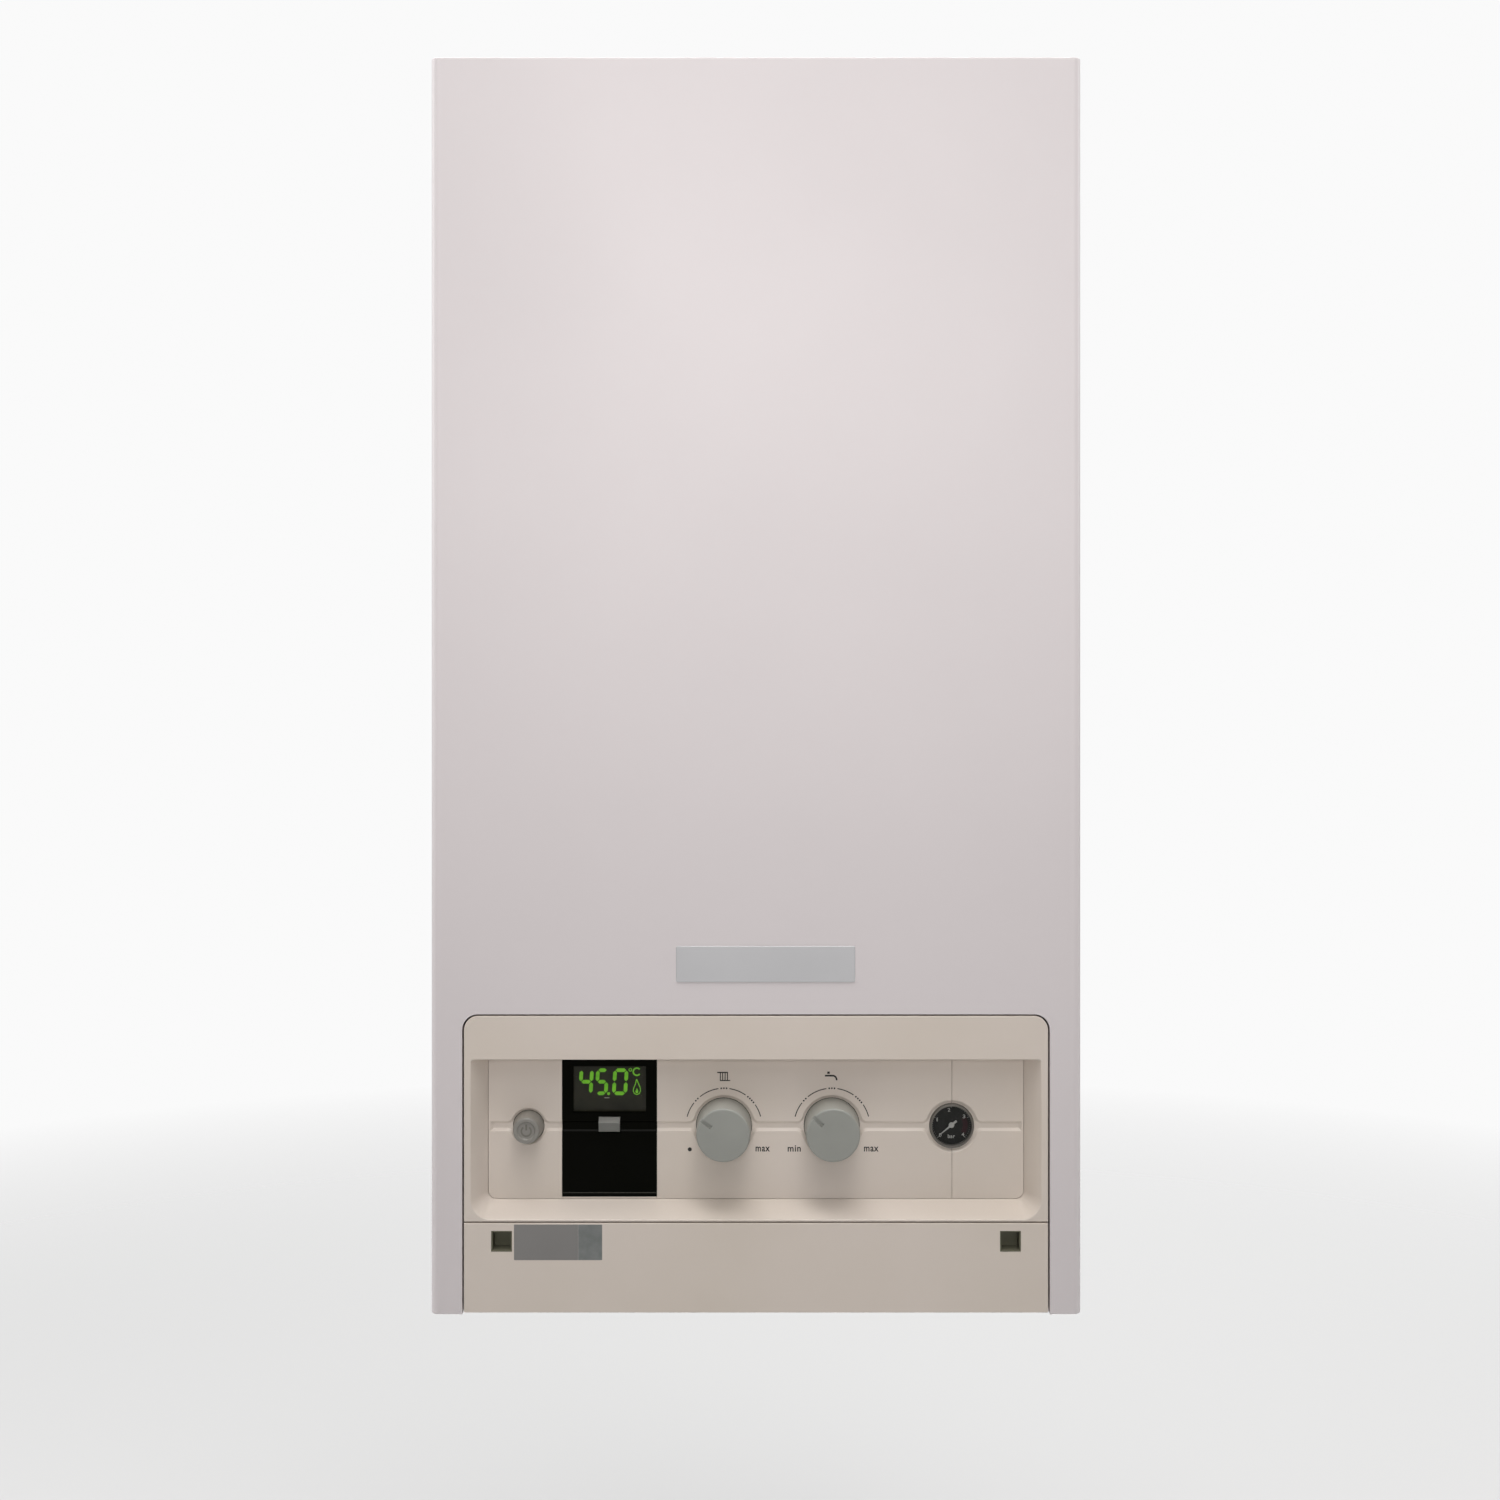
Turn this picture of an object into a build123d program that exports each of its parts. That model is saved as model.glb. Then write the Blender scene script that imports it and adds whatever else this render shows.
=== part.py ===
from build123d import *
import math
import os

# Wall-hung condensing combi boiler, in millimetres.
#
# X runs to the right as the user sees it, Y into the wall, Z up. The origin is the middle of the
# screw line of the wall bracket, on the wall itself, so the boiler stands in front of it at -Y.
# Everything that belongs to the upper half is placed down from the casing's top, and everything
# that belongs to the pipework is placed up from the casing's bottom.

os.makedirs("parts", exist_ok=True)

# ------------------------------------------------------------------ outer casing
case_width = 440.0
case_height = 850.0
case_depth = 338.0  # from the rear edge of the casing to its front face
case_sheet = 1.2
case_corner = 5.0  # folded front corners
case_edge = 1.0  # softened top and bottom edges of the front
top_return = 22.0  # front strip folded over at the top and bottom
side_return = 10.0  # side strips folded over at the top and bottom
notch_lip = 6.0  # fold round the opening for the controls

# ------------------------------------------------------------------ place on the wall
wall_gap = 14.0  # from the wall to the rear edge of casing and chassis
bracket_drop = 60.0  # from the casing's top down to the screw line
slide_gap = 0.3  # running gap between pieces that slide or seat on each other

# ------------------------------------------------------------------ control unit
panel_margin = 22.5  # the casing's front beside the moulded surround
panel_height = 139.0  # the moulded surround
strip_height = 60.5  # the strip under it
strip_gap = 1.2  # from the strip to the casing's bottom
panel_gap = 1.2  # shadow gap to the casing
panel_corner = 9.5
panel_rim = 30.0  # depth of the surround and strip
panel_wall = 2.5
joint_line = 1.0  # line between the surround and the strip below it
dish_margin = 4.5  # the surround's front beside the recess
dish_foot = 1.3  # and under it
dish_drop = 29.6  # from the surround's top to the recess
dish_depth = 16.0
dish_corner = 13.5
dish_slope_side = 9.4  # how far the side walls lean in
dish_slope_bottom = 9.0
inlay_thick = 3.0
ledge_thick = 2.0
mouth_round = 0.7  # rounding where the recess meets the front
panel_edge = 0.5  # softened front edges of the surround and strip
dish_high_corner = 2.0
inlay_fit = 0.3
inlay_corner = 5.5
ledge = 4.0
groove_width = 6.9
groove_depth = 1.6
groove_flare = 4.0
groove_margin = 1.5  # groove ends short of the inlay's sides
control_drop = 78.9  # from the surround's top to the line of the controls
groove_taper = 50.0

button_inset = 27.6  # from the left end of the recess's floor
window_reach = 55.6  # from the button to the window's middle
heating_x = -22.0
knob_pitch = 74.0
gauge_inset = 49.3  # from the right end of the recess's floor
knob_radius = 18.9
knob_face_radius = 18.1
knob_height = 22.5
knob_shell = 1.8
knob_gap = 0.35
knob_mouth = 2.1  # width of the sloped ring round each knob
pointer_width = 2.7
pointer_length = 6.6
pointer_depth = 1.3
heating_pointer = 56.5  # degrees left of the top, as it is set
water_pointer = 47.0
button_radius = 10.5
button_face_radius = 8.9
button_height = 12.0
button_mouth = 1.7
button_travel = 2.5
gauge_radius = 15.1
gauge_mouth = 2.6
gauge_depth = 24.0
gauge_rim = 1.5
gauge_well = 4.2  # from the rim's front down to the dial
gauge_proud = 0.6
glass_thick = 1.0
window_width = 65.2
window_foot = 1.4  # inlay left below the window
screen_width = 50.0
screen_height = 31.7
screen_drop = 8.0  # from the window's top to the screen
latch_width = 14.4
latch_height = 9.6
latch_proud = 3.4
socket_size = 14.2
socket_inset = 48.0  # from the casing's side to the socket's centre
socket_drop = 5.2  # from the strip's top to the socket
shelf_drop = 23.0  # its rear edge lies this much below the surround's top
hinge_up = 12.0  # hinge pins above the casing's bottom
hinge_back = 12.0  # and behind its front
pin_radius = 3.0
pin_fit = 0.05
board_thick = 1.6

# ------------------------------------------------------------------ chassis
frame_sheet = 1.5
frame_flange = 15.0
frame_gap = 2.3  # between the casing's inner face and the chassis
stud_reach = 18.0  # chassis front flange behind the casing's front
stud_radius = 3.0
stud_inset_top = 34.0
stud_inset_bottom = 64.0
bracket_width = 300.0
bracket_height = 56.0
bracket_sheet = 3.0
bracket_hole_radius = 4.5
bracket_hole_spacing = 240.0
hook_width = 28.0
hook_spacing = 170.0
hook_lip = 9.0
hook_drop = 12.0  # hooks below the screw line

# ------------------------------------------------------------------ derived planes
panel_width = case_width - 2 * panel_margin
dish_width = panel_width - 2 * dish_margin
dish_height = panel_height - dish_drop - dish_foot
rear_y = -wall_gap
front_y = rear_y - case_depth
top_z = bracket_drop
bottom_z = top_z - case_height
inner_front_y = front_y + case_sheet
frame_half = case_width / 2 - case_sheet - frame_gap
frame_top_z = top_z - case_sheet - slide_gap
frame_bottom_z = bottom_z + case_sheet + slide_gap
flange_y = front_y + stud_reach
plate_y = rear_y - frame_sheet  # rear face of the back plate
chassis_y = plate_y - frame_sheet  # front face of the back plate
strip_low_z = bottom_z + strip_gap
strip_top_z = strip_low_z + strip_height
panel_bottom_z = strip_top_z + joint_line
panel_top_z = panel_bottom_z + panel_height
control_z = panel_top_z - control_drop
inlay_y = front_y + dish_depth  # visible face of the inlay
inlay_back_y = inlay_y + inlay_thick
floor_width = dish_width - 2 * dish_slope_side
button_x = button_inset - floor_width / 2
window_x = button_x + window_reach
water_x = heating_x + knob_pitch
gauge_x = floor_width / 2 - gauge_inset
floor_height = dish_height - dish_slope_bottom
floor_top_z = panel_top_z - dish_drop
floor_bottom_z = floor_top_z - floor_height
hinge_y = front_y + hinge_back
hinge_z = bottom_z + hinge_up
shelf_y = front_y + panel_rim
front = Plane.XZ.offset(-front_y)
inlay_face = Plane.XZ.offset(-inlay_y)


def below_top(distance):
    """Height of a point that lies this far below the casing's top."""
    return top_z - distance


def above_base(distance):
    """Height of a point that lies this far above the casing's bottom."""
    return bottom_z + distance


def block(low, high, mode=Mode.ADD):
    """A square-edged block between two corners."""
    low, high = Vector(*low), Vector(*high)
    size = high - low
    with Locations((low + high) / 2):
        Box(size.X, size.Y, size.Z, mode=mode)


def rod(start, end, radius, mode=Mode.ADD):
    """A round bar between two points."""
    start, end = Vector(*start), Vector(*end)
    with Locations(Plane(origin=start, z_dir=end - start)):
        Cylinder(
            radius,
            (end - start).length,
            align=(Align.CENTER, Align.CENTER, Align.MIN),
            mode=mode,
        )


def save(piece, name):
    """Labels a finished piece and writes its file."""
    piece.part.label = name
    export_step(piece.part, f"parts/{name}.step")


# ================================================================== casing
# Painted steel sheet folded round the front and both sides, with returns at top and bottom and
# an opening at the foot for the control unit. It pulls straight forward off four studs.
notch_half = panel_width / 2 + panel_gap
notch_top_z = panel_top_z + panel_gap
notch_radius = panel_corner + panel_gap


def notch_outline(grow):
    """The opening for the controls, open at the bottom, grown outwards by a sheet thickness."""
    half, top = notch_half + grow, notch_top_z + grow
    foot = bottom_z - case_sheet
    with Locations((0, (top + foot) / 2)):
        Rectangle(2 * half, top - foot)


with BuildPart() as casing:
    block((-case_width / 2, front_y, bottom_z), (case_width / 2, rear_y, top_z))
    fillet(casing.edges().filter_by(Axis.Z).group_by(Axis.Y)[0], case_corner)
    for rim in (casing.edges().group_by(Axis.Z)[0], casing.edges().group_by(Axis.Z)[-1]):
        fillet(rim.filter_by(lambda edge: edge.center().Y < rear_y - 1), case_edge)
    with BuildSketch(Plane.XY.offset(bottom_z + case_sheet)):
        with Locations((0, (inner_front_y + rear_y) / 2)):
            Rectangle(case_width - 2 * case_sheet, case_depth - case_sheet)
        fillet(vertices().group_by(Axis.Y)[0], case_corner - case_sheet)
    extrude(amount=case_height - 2 * case_sheet, mode=Mode.SUBTRACT)
    block(
        (side_return - case_width / 2, front_y + top_return, bottom_z),
        (case_width / 2 - side_return, rear_y, top_z),
        Mode.SUBTRACT,
    )
    with BuildSketch(front):
        notch_outline(0)
        fillet(vertices().group_by(Axis.Y)[-1], notch_radius)
    extrude(amount=-top_return - case_sheet, mode=Mode.SUBTRACT)
    with BuildSketch(front):
        notch_outline(case_sheet)
        fillet(vertices().group_by(Axis.Y)[-1], notch_radius + case_sheet)
        with BuildSketch(front, mode=Mode.SUBTRACT):
            notch_outline(0)
            fillet(vertices().group_by(Axis.Y)[-1], notch_radius)
        with Locations((0, bottom_z - case_sheet)):
            Rectangle(case_width, 2 * case_sheet, mode=Mode.SUBTRACT)
    extrude(amount=-notch_lip)
save(casing, "casing")

# Turned steel studs, clinched to the inside of the casing, that snap into the chassis flange.
stud_x = frame_half - frame_flange / 2
stud_heights = (below_top(stud_inset_top), above_base(stud_inset_bottom))
stud_head_radius = 6.0
stud_head = 2.0
stud_tip = 4.0
with BuildPart() as casing_studs:
    stud_end_y = flange_y + frame_sheet + stud_tip
    for x in (-stud_x, stud_x):
        for z in stud_heights:
            rod((x, inner_front_y, z), (x, inner_front_y + stud_head, z), stud_head_radius)
            rod((x, inner_front_y + stud_head, z), (x, stud_end_y, z), stud_radius)
save(casing_studs, "casing_studs")

# ================================================================== chassis
# Two pressed side frames with a web, front and rear flanges, lightening windows and, at the foot,
# a folded ear that carries the hinge of the control unit.
ear_gap = 0.5  # between the ear and the control unit
ear_sheet = 2.0
ear_height = 24.0
ear_depth = 27.0
window_rows = 3
web_window = (200.0, 190.0)  # depth and height of one lightening window
web_window_radius = 20.0
web_pitch = 255.0
ear_x = panel_width / 2 + ear_gap
ear_front_y = front_y + notch_lip + 1.0
with BuildPart() as side_frames:
    with BuildSketch(Plane.XY.offset(frame_bottom_z)):
        outer, inner = frame_half, frame_half - frame_flange
        for x0, x1, y0, y1 in (
            (outer - frame_sheet, outer, flange_y, rear_y),
            (inner, outer, flange_y, flange_y + frame_sheet),
            (inner, outer, rear_y - frame_sheet, rear_y),
        ):
            with Locations(((x0 + x1) / 2, (y0 + y1) / 2)):
                Rectangle(x1 - x0, y1 - y0)
    extrude(amount=frame_top_z - frame_sheet - frame_bottom_z)
    with BuildSketch(Plane.YZ.offset(frame_half)):
        with Locations(((flange_y + rear_y) / 2, (top_z + bottom_z) / 2)):
            with GridLocations(1, web_pitch, 1, window_rows):
                RectangleRounded(*web_window, web_window_radius)
    extrude(amount=-frame_sheet, mode=Mode.SUBTRACT)
    for z in stud_heights:
        rod(
            (stud_x, flange_y, z),
            (stud_x, flange_y + frame_sheet, z),
            stud_radius + slide_gap,
            Mode.SUBTRACT,
        )
    with BuildSketch(Plane.XY.offset(frame_bottom_z)):
        ear_back_y = ear_front_y + ear_depth
        with Locations((ear_x + ear_sheet / 2, (ear_front_y + ear_back_y) / 2)):
            Rectangle(ear_sheet, ear_depth)
        leg = frame_half - frame_sheet - ear_x
        with Locations((ear_x + leg / 2, ear_back_y - ear_sheet / 2)):
            Rectangle(leg, ear_sheet)
    extrude(amount=ear_height)
    rod(
        (ear_x, hinge_y, hinge_z),
        (ear_x + ear_sheet, hinge_y, hinge_z),
        pin_radius + pin_fit,
        Mode.SUBTRACT,
    )
    mirror(about=Plane.YZ)
save(side_frames, "side_frames")

# Hinge pins of the control unit, headed on the outside of the ears.
pin_head = 1.5
pin_head_radius = 4.8
pin_reach = 11.0
with BuildPart() as hinge_pins:
    head_x = ear_x + ear_sheet
    rod((head_x - pin_reach, hinge_y, hinge_z), (head_x, hinge_y, hinge_z), pin_radius)
    rod((head_x, hinge_y, hinge_z), (head_x + pin_head, hinge_y, hinge_z), pin_head_radius)
    mirror(about=Plane.YZ)
save(hinge_pins, "hinge_pins")

# Zinc-coated back plate between the side frames, with two slots for the wall hooks, stiffening
# beads, and two pressed cups at the foot that keep the boiler off the wall.
slot_height = 16.0
slot_play = 3.0
hook_top_z = -hook_drop  # the slots' upper edges rest on the hooks here
bead_width = 16.0
bead_height = 300.0
bead_depth = 4.0
bead_taper = 40.0
bead_spacing = 120.0
cup_radius = 16.0
cup_spacing = 260.0
cup_up = 60.0
frame_inner = frame_half - frame_sheet
with BuildPart() as back_plate:
    block(
        (-frame_inner + slide_gap, chassis_y, frame_bottom_z + frame_sheet),
        (frame_inner - slide_gap, plate_y, frame_top_z - frame_sheet),
    )
    with BuildSketch(Plane.XZ.offset(-plate_y)):
        with Locations((0, hook_top_z - slot_height / 2)):
            with GridLocations(hook_spacing, 1, 2, 1):
                Rectangle(hook_width + 2 * slot_play, slot_height)
    extrude(amount=frame_sheet, mode=Mode.SUBTRACT)
    for grow, mode in ((0.0, Mode.ADD), (-frame_sheet, Mode.SUBTRACT)):
        start_y = chassis_y if mode == Mode.ADD else plate_y
        with BuildSketch(Plane.XZ.offset(-start_y)):
            with Locations((0, (top_z + bottom_z) / 2)):
                with GridLocations(bead_spacing, 1, 3, 1):
                    SlotCenterToCenter(bead_height, bead_width + 2 * grow, rotation=90)
        extrude(amount=bead_depth, taper=bead_taper, mode=mode)
    for x in (-cup_spacing / 2, cup_spacing / 2):
        with BuildSketch(Plane.XZ.offset(-plate_y)):
            with Locations((x, above_base(cup_up))):
                Circle(cup_radius)
        extrude(amount=plate_y, taper=15)
save(back_plate, "back_plate")

# Steel bracket screwed to the wall; its two hooks pass through the slots of the back plate.
with BuildPart() as wall_bracket:
    with BuildSketch(Plane.XZ):
        RectangleRounded(bracket_width, bracket_height, 6)
    extrude(amount=bracket_sheet)
    lip_y = chassis_y - slide_gap
    for x in (-hook_spacing / 2, hook_spacing / 2):
        with BuildSketch(Plane.YZ.offset(x - hook_width / 2)):
            with BuildLine():
                Polyline(
                    (-bracket_sheet, hook_top_z),
                    (lip_y, hook_top_z),
                    (lip_y, hook_top_z + hook_lip),
                    (lip_y - bracket_sheet, hook_top_z + hook_lip),
                    (lip_y - bracket_sheet, hook_top_z - bracket_sheet),
                    (-bracket_sheet, hook_top_z - bracket_sheet),
                    close=True,
                )
            make_face()
        extrude(amount=hook_width)
    with Locations((0, 0, 0)):
        with GridLocations(bracket_hole_spacing, 1, 2, 1):
            Cylinder(bracket_hole_radius, 3 * bracket_sheet, rotation=(90, 0, 0), mode=Mode.SUBTRACT)
save(wall_bracket, "wall_bracket")

# Top plate, lying on both side frames, with a hole for the flue and air, and a fold at the front.
flue_reach = 126.0  # flue centre in front of the chassis' rear
flue_radius = 30.0
riser_radius = 29.0
air_radius = 50.0
flue_fit = 0.2
air_hole_radius = 46.0
fold_height = 20.0
flue_y = rear_y - flue_reach
with BuildPart() as top_plate:
    block((-frame_half, flange_y, frame_top_z - frame_sheet), (frame_half, rear_y, frame_top_z))
    fold_half = frame_half - frame_flange - slide_gap
    block(
        (-fold_half, flange_y, frame_top_z - fold_height),
        (fold_half, flange_y + frame_sheet, frame_top_z - frame_sheet),
    )
    rod(
        (0, flue_y, frame_top_z - frame_sheet),
        (0, flue_y, frame_top_z),
        air_hole_radius,
        Mode.SUBTRACT,
    )
save(top_plate, "top_plate")

# Pipe positions along the foot, from left to right: heating flow, tap water out, gas, cold water
# in, heating return. The first, third and last are three-quarter inch, the others half inch.
tail_margin = 90.0  # from the casing's side to the outer tails
tail_reach = 136.0  # tails in front of the chassis' rear
large_tail_radius = 13.2
small_tail_radius = 10.5
tail_reveal = 35.0  # tails below the casing
tail_fit = 0.5
relief_reach = 48.0  # from the outer tail to the relief valve's discharge pipe
drain_reach = 33.0  # from the gas tail to the condensate drain
drain_radius = 9.0
relief_pipe_radius = 7.5
plate_front_y = front_y + 102.0
tail_pitch = (case_width / 2 - tail_margin) / 2
relief_x = -2 * tail_pitch - relief_reach
drain_x = drain_reach - tail_pitch
tail_y = rear_y - tail_reach
tail_z = bottom_z - tail_reveal
tails = (
    (-2 * tail_pitch, large_tail_radius),
    (-tail_pitch, small_tail_radius),
    (0.0, large_tail_radius),
    (tail_pitch, small_tail_radius),
    (2 * tail_pitch, large_tail_radius),
)
plate_top_z = frame_bottom_z + frame_sheet
with BuildPart() as bottom_plate:
    block(
        (-frame_inner + slide_gap, plate_front_y, frame_bottom_z),
        (frame_inner - slide_gap, rear_y - frame_sheet, plate_top_z),
    )
    block(
        (-ear_x + slide_gap, plate_front_y, plate_top_z),
        (ear_x - slide_gap, plate_front_y + frame_sheet, plate_top_z + fold_height),
    )
    passages = (*tails, (relief_x, relief_pipe_radius), (drain_x, drain_radius))
    for x, radius in passages:
        rod((x, tail_y, frame_bottom_z), (x, tail_y, plate_top_z), radius + tail_fit, Mode.SUBTRACT)
save(bottom_plate, "bottom_plate")

# ================================================================== flue and air
# Moulded collar on the top plate: an inner socket for the flue and an outer one for the air,
# joined by four webs, with two capped test points at the front.
collar_height = 45.0
collar_wall = 2.8
collar_flange_radius = 66.0
collar_flange = 3.0
collar_skirt = 24.0  # the inner socket reaches this far below the top plate
collar_stop = 3.0  # ring inside the inner socket, between the riser and the flue
web_count = 4
web_thick = 4.0
web_height = 8.0
test_point_radius = 7.0
test_point_length = 12.0
collar_z = frame_top_z + collar_height
with BuildPart() as flue_collar:
    rod((0, flue_y, frame_top_z), (0, flue_y, frame_top_z + collar_flange), collar_flange_radius)
    rod((0, flue_y, frame_top_z), (0, flue_y, collar_z), air_radius + flue_fit + collar_wall)
    for x in (-18.0, 18.0):
        point_z = frame_top_z + collar_height / 2
        rod(
            (x, flue_y - air_radius + 4, point_z),
            (x, flue_y - air_radius - test_point_length, point_z),
            test_point_radius,
        )
    rod((0, flue_y, frame_top_z), (0, flue_y, collar_z), air_radius + flue_fit, Mode.SUBTRACT)
    rod(
        (0, flue_y, frame_top_z - collar_skirt),
        (0, flue_y, collar_z),
        flue_radius + flue_fit + collar_wall,
    )
    with BuildSketch(Plane.XY.offset(frame_top_z)):
        with Locations((0, flue_y)):
            with PolarLocations((flue_radius + air_radius) / 2, web_count, start_angle=45):
                Rectangle(air_radius - flue_radius + collar_wall, web_thick)
    extrude(amount=web_height)
    stop_z = frame_top_z + collar_flange / 2
    for low_z, radius in (
        (frame_top_z - collar_skirt, riser_radius + flue_fit),
        (stop_z, riser_radius - collar_stop),
        (stop_z + collar_stop, flue_radius + flue_fit),
    ):
        high_z = stop_z if low_z < stop_z else collar_z
        rod((0, flue_y, low_z), (0, flue_y, high_z), radius, Mode.SUBTRACT)
save(flue_collar, "flue_collar")

# ================================================================== heat engine
# Everything in the heat engine is placed from the exchanger's flanges.
exchanger_side = 121.5  # from the chassis' left side to the exchanger
fan_side = 70.5  # from the chassis' right side to the fan's axis
fan_room = 71.0  # from the fan's axis to the exchanger
front_room = 52.0  # from the casing's front to the exchanger
riser_room = 21.0  # from the exchanger to the flue riser
exchanger_drop = 150.0  # below the casing's top
exchanger_up = 370.0  # above the casing's bottom
exchanger_left = exchanger_side - frame_half
fan_x = frame_half - fan_side
exchanger_right = fan_x - fan_room
exchanger_front = front_y + front_room
exchanger_rear = flue_y - riser_radius - riser_room
exchanger_top = below_top(exchanger_drop)
exchanger_bottom = above_base(exchanger_up)
exchanger_wall = 9.0
flange_reach = 8.0
flange_thick = 8.0
chamber_depth = 150.0
rib_pitch = 30.0
rib_room = 30.0  # of the height left without ribs
rib_margin = 12.0  # at both ends of a rib
rib_lower = 10.0  # the ribs' middle below the exchanger's
rib_depth = 3.5
rib_thick = 5.0
pipe_radius = 9.0
pipe_fit = 0.1  # between a pipe and the socket that it ends in
boss_radius = 14.0
boss_length = 10.0
flow_port_drop = 40.0
return_port_up = 32.0
electrode_inset = 40.0
port_y = (exchanger_front + exchanger_rear) / 2
flow_port_z = exchanger_top - flow_port_drop
return_port_z = exchanger_bottom + return_port_up
electrode_x = exchanger_left + electrode_inset
rib_count = round((exchanger_top - exchanger_bottom - 2 * flange_thick - rib_room) / rib_pitch)
electrode_drop = 34.0  # below the exchanger's top
electrode_radius = 4.0
electrode_gap = 0.25


def exchanger_block(low_z, high_z, grow=0.0, mode=Mode.ADD):
    """A block with the exchanger's plan, grown outwards, between two heights."""
    block(
        (exchanger_left - grow, exchanger_front - grow, low_z),
        (exchanger_right + grow, exchanger_rear + grow, high_z),
        mode,
    )


# Sand-cast aluminium exchanger with a chamber open at the top for the burner and one open at the
# foot for the flue gas, flanges at both ends, stiffening ribs, and a boss for each water pipe.
foot_depth = 24.0
with BuildPart() as heat_exchanger:
    exchanger_block(exchanger_bottom, exchanger_top)
    fillet(heat_exchanger.edges().filter_by(Axis.Z), 6)
    exchanger_block(exchanger_top - flange_thick, exchanger_top, flange_reach)
    exchanger_block(exchanger_bottom, exchanger_bottom + flange_thick, flange_reach)
    with BuildSketch(Plane.XZ.offset(-exchanger_front)):
        with Locations(
            (
                (exchanger_left + exchanger_right) / 2,
                (exchanger_top + exchanger_bottom) / 2 - rib_lower,
            ),
        ):
            with GridLocations(1, rib_pitch, 1, rib_count):
                Rectangle(exchanger_right - exchanger_left - 2 * rib_margin, rib_thick)
    extrude(amount=rib_depth)
    for x, z in ((exchanger_left, flow_port_z), (exchanger_right, return_port_z)):
        away = math.copysign(boss_length, x)
        rod((x - away, port_y, z), (x + away, port_y, z), boss_radius)
        rod((x, port_y, z), (x + away, port_y, z), pipe_radius + pipe_fit, Mode.SUBTRACT)
    exchanger_block(exchanger_top - chamber_depth, exchanger_top, -exchanger_wall, Mode.SUBTRACT)
    exchanger_block(exchanger_bottom, exchanger_bottom + foot_depth, -exchanger_wall, Mode.SUBTRACT)
    electrode_z = exchanger_top - electrode_drop
    rod(
        (electrode_x, exchanger_front - rib_depth, electrode_z),
        (electrode_x, exchanger_front + exchanger_wall, electrode_z),
        electrode_radius + electrode_gap,
        Mode.SUBTRACT,
    )
save(heat_exchanger, "heat_exchanger")

# Plastic sump under the exchanger; its rear socket carries the flue riser, its drain the siphon.
sump_depth = 46.0
sump_wall = 3.0
socket_wall = 3.5
socket_height = 12.0  # the riser's socket stands this far above the sump
drain_back = 17.0  # the drain behind the middle of the sump
drain_inset = 55.0  # and right of its left end
drain_stub = 22.0
sump_top = exchanger_bottom
sump_bottom = sump_top - sump_depth
drain_drop_x = exchanger_left + drain_inset
drain_drop_y = port_y + drain_back
with BuildPart() as sump:
    exchanger_block(sump_bottom, sump_top, flange_reach)
    block(
        (-riser_radius - socket_wall, exchanger_rear, sump_bottom),
        (riser_radius + socket_wall, flue_y, sump_top),
    )
    rod(
        (0, flue_y, sump_bottom),
        (0, flue_y, sump_top + socket_height),
        riser_radius + flue_fit + socket_wall,
    )
    fillet(sump.edges().filter_by(GeomType.LINE).group_by(Axis.Z)[0], 4)
    exchanger_block(sump_bottom + sump_wall, sump_top, -exchanger_wall, Mode.SUBTRACT)
    block(
        (-riser_radius, exchanger_rear - exchanger_wall, sump_bottom + sump_wall),
        (riser_radius, flue_y, sump_top - sump_wall),
        Mode.SUBTRACT,
    )
    rod(
        (0, flue_y, sump_bottom + sump_wall),
        (0, flue_y, sump_top + socket_height),
        riser_radius + flue_fit,
        Mode.SUBTRACT,
    )
    stub_z = sump_bottom - drain_stub
    rod(
        (drain_drop_x, drain_drop_y, stub_z),
        (drain_drop_x, drain_drop_y, sump_bottom + 1),
        drain_radius + 2,
    )
    rod(
        (drain_drop_x, drain_drop_y, stub_z),
        (drain_drop_x, drain_drop_y, sump_bottom + sump_wall),
        drain_radius,
        Mode.SUBTRACT,
    )
save(sump, "sump")

# Plastic riser that carries the flue gas from the sump up into the collar.
riser_wall = 1.8
with BuildPart() as flue_riser:
    riser_foot = sump_top - sump_wall
    rod((0, flue_y, riser_foot), (0, flue_y, stop_z - slide_gap), riser_radius)
    rod((0, flue_y, riser_foot), (0, flue_y, stop_z), riser_radius - riser_wall, Mode.SUBTRACT)
save(flue_riser, "flue_riser")

# Cast burner cover: a flanged plate with a hood on it, open towards the fan at the right. The
# flange is held down by six nuts on studs.
cover_thick = 6.0
hood_height = 44.0
hood_inset = 16.0
hood_wall = 4.0
duct_height = 28.0
duct_depth = 44.0
duct_above = 8.0  # bottom of the duct above the cover's plate
hood_end = 13.0  # the duct's mouth inside the exchanger's right end
middle_nut = 72.0  # from the duct's mouth to the middle nuts
hood_right = exchanger_right - hood_end
stud_thread_radius = 3.0
stud_fit = 0.2
nut_radius = 5.6
nut_height = 5.0
nut_inset = 2.0
cover_top = exchanger_top + cover_thick
duct_bottom = cover_top + duct_above
duct_top = duct_bottom + duct_height
nut_xs = (exchanger_left - nut_inset, hood_right - middle_nut, exchanger_right + nut_inset)
nut_ys = (exchanger_front - nut_inset / 2, exchanger_rear + nut_inset / 2)
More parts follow.
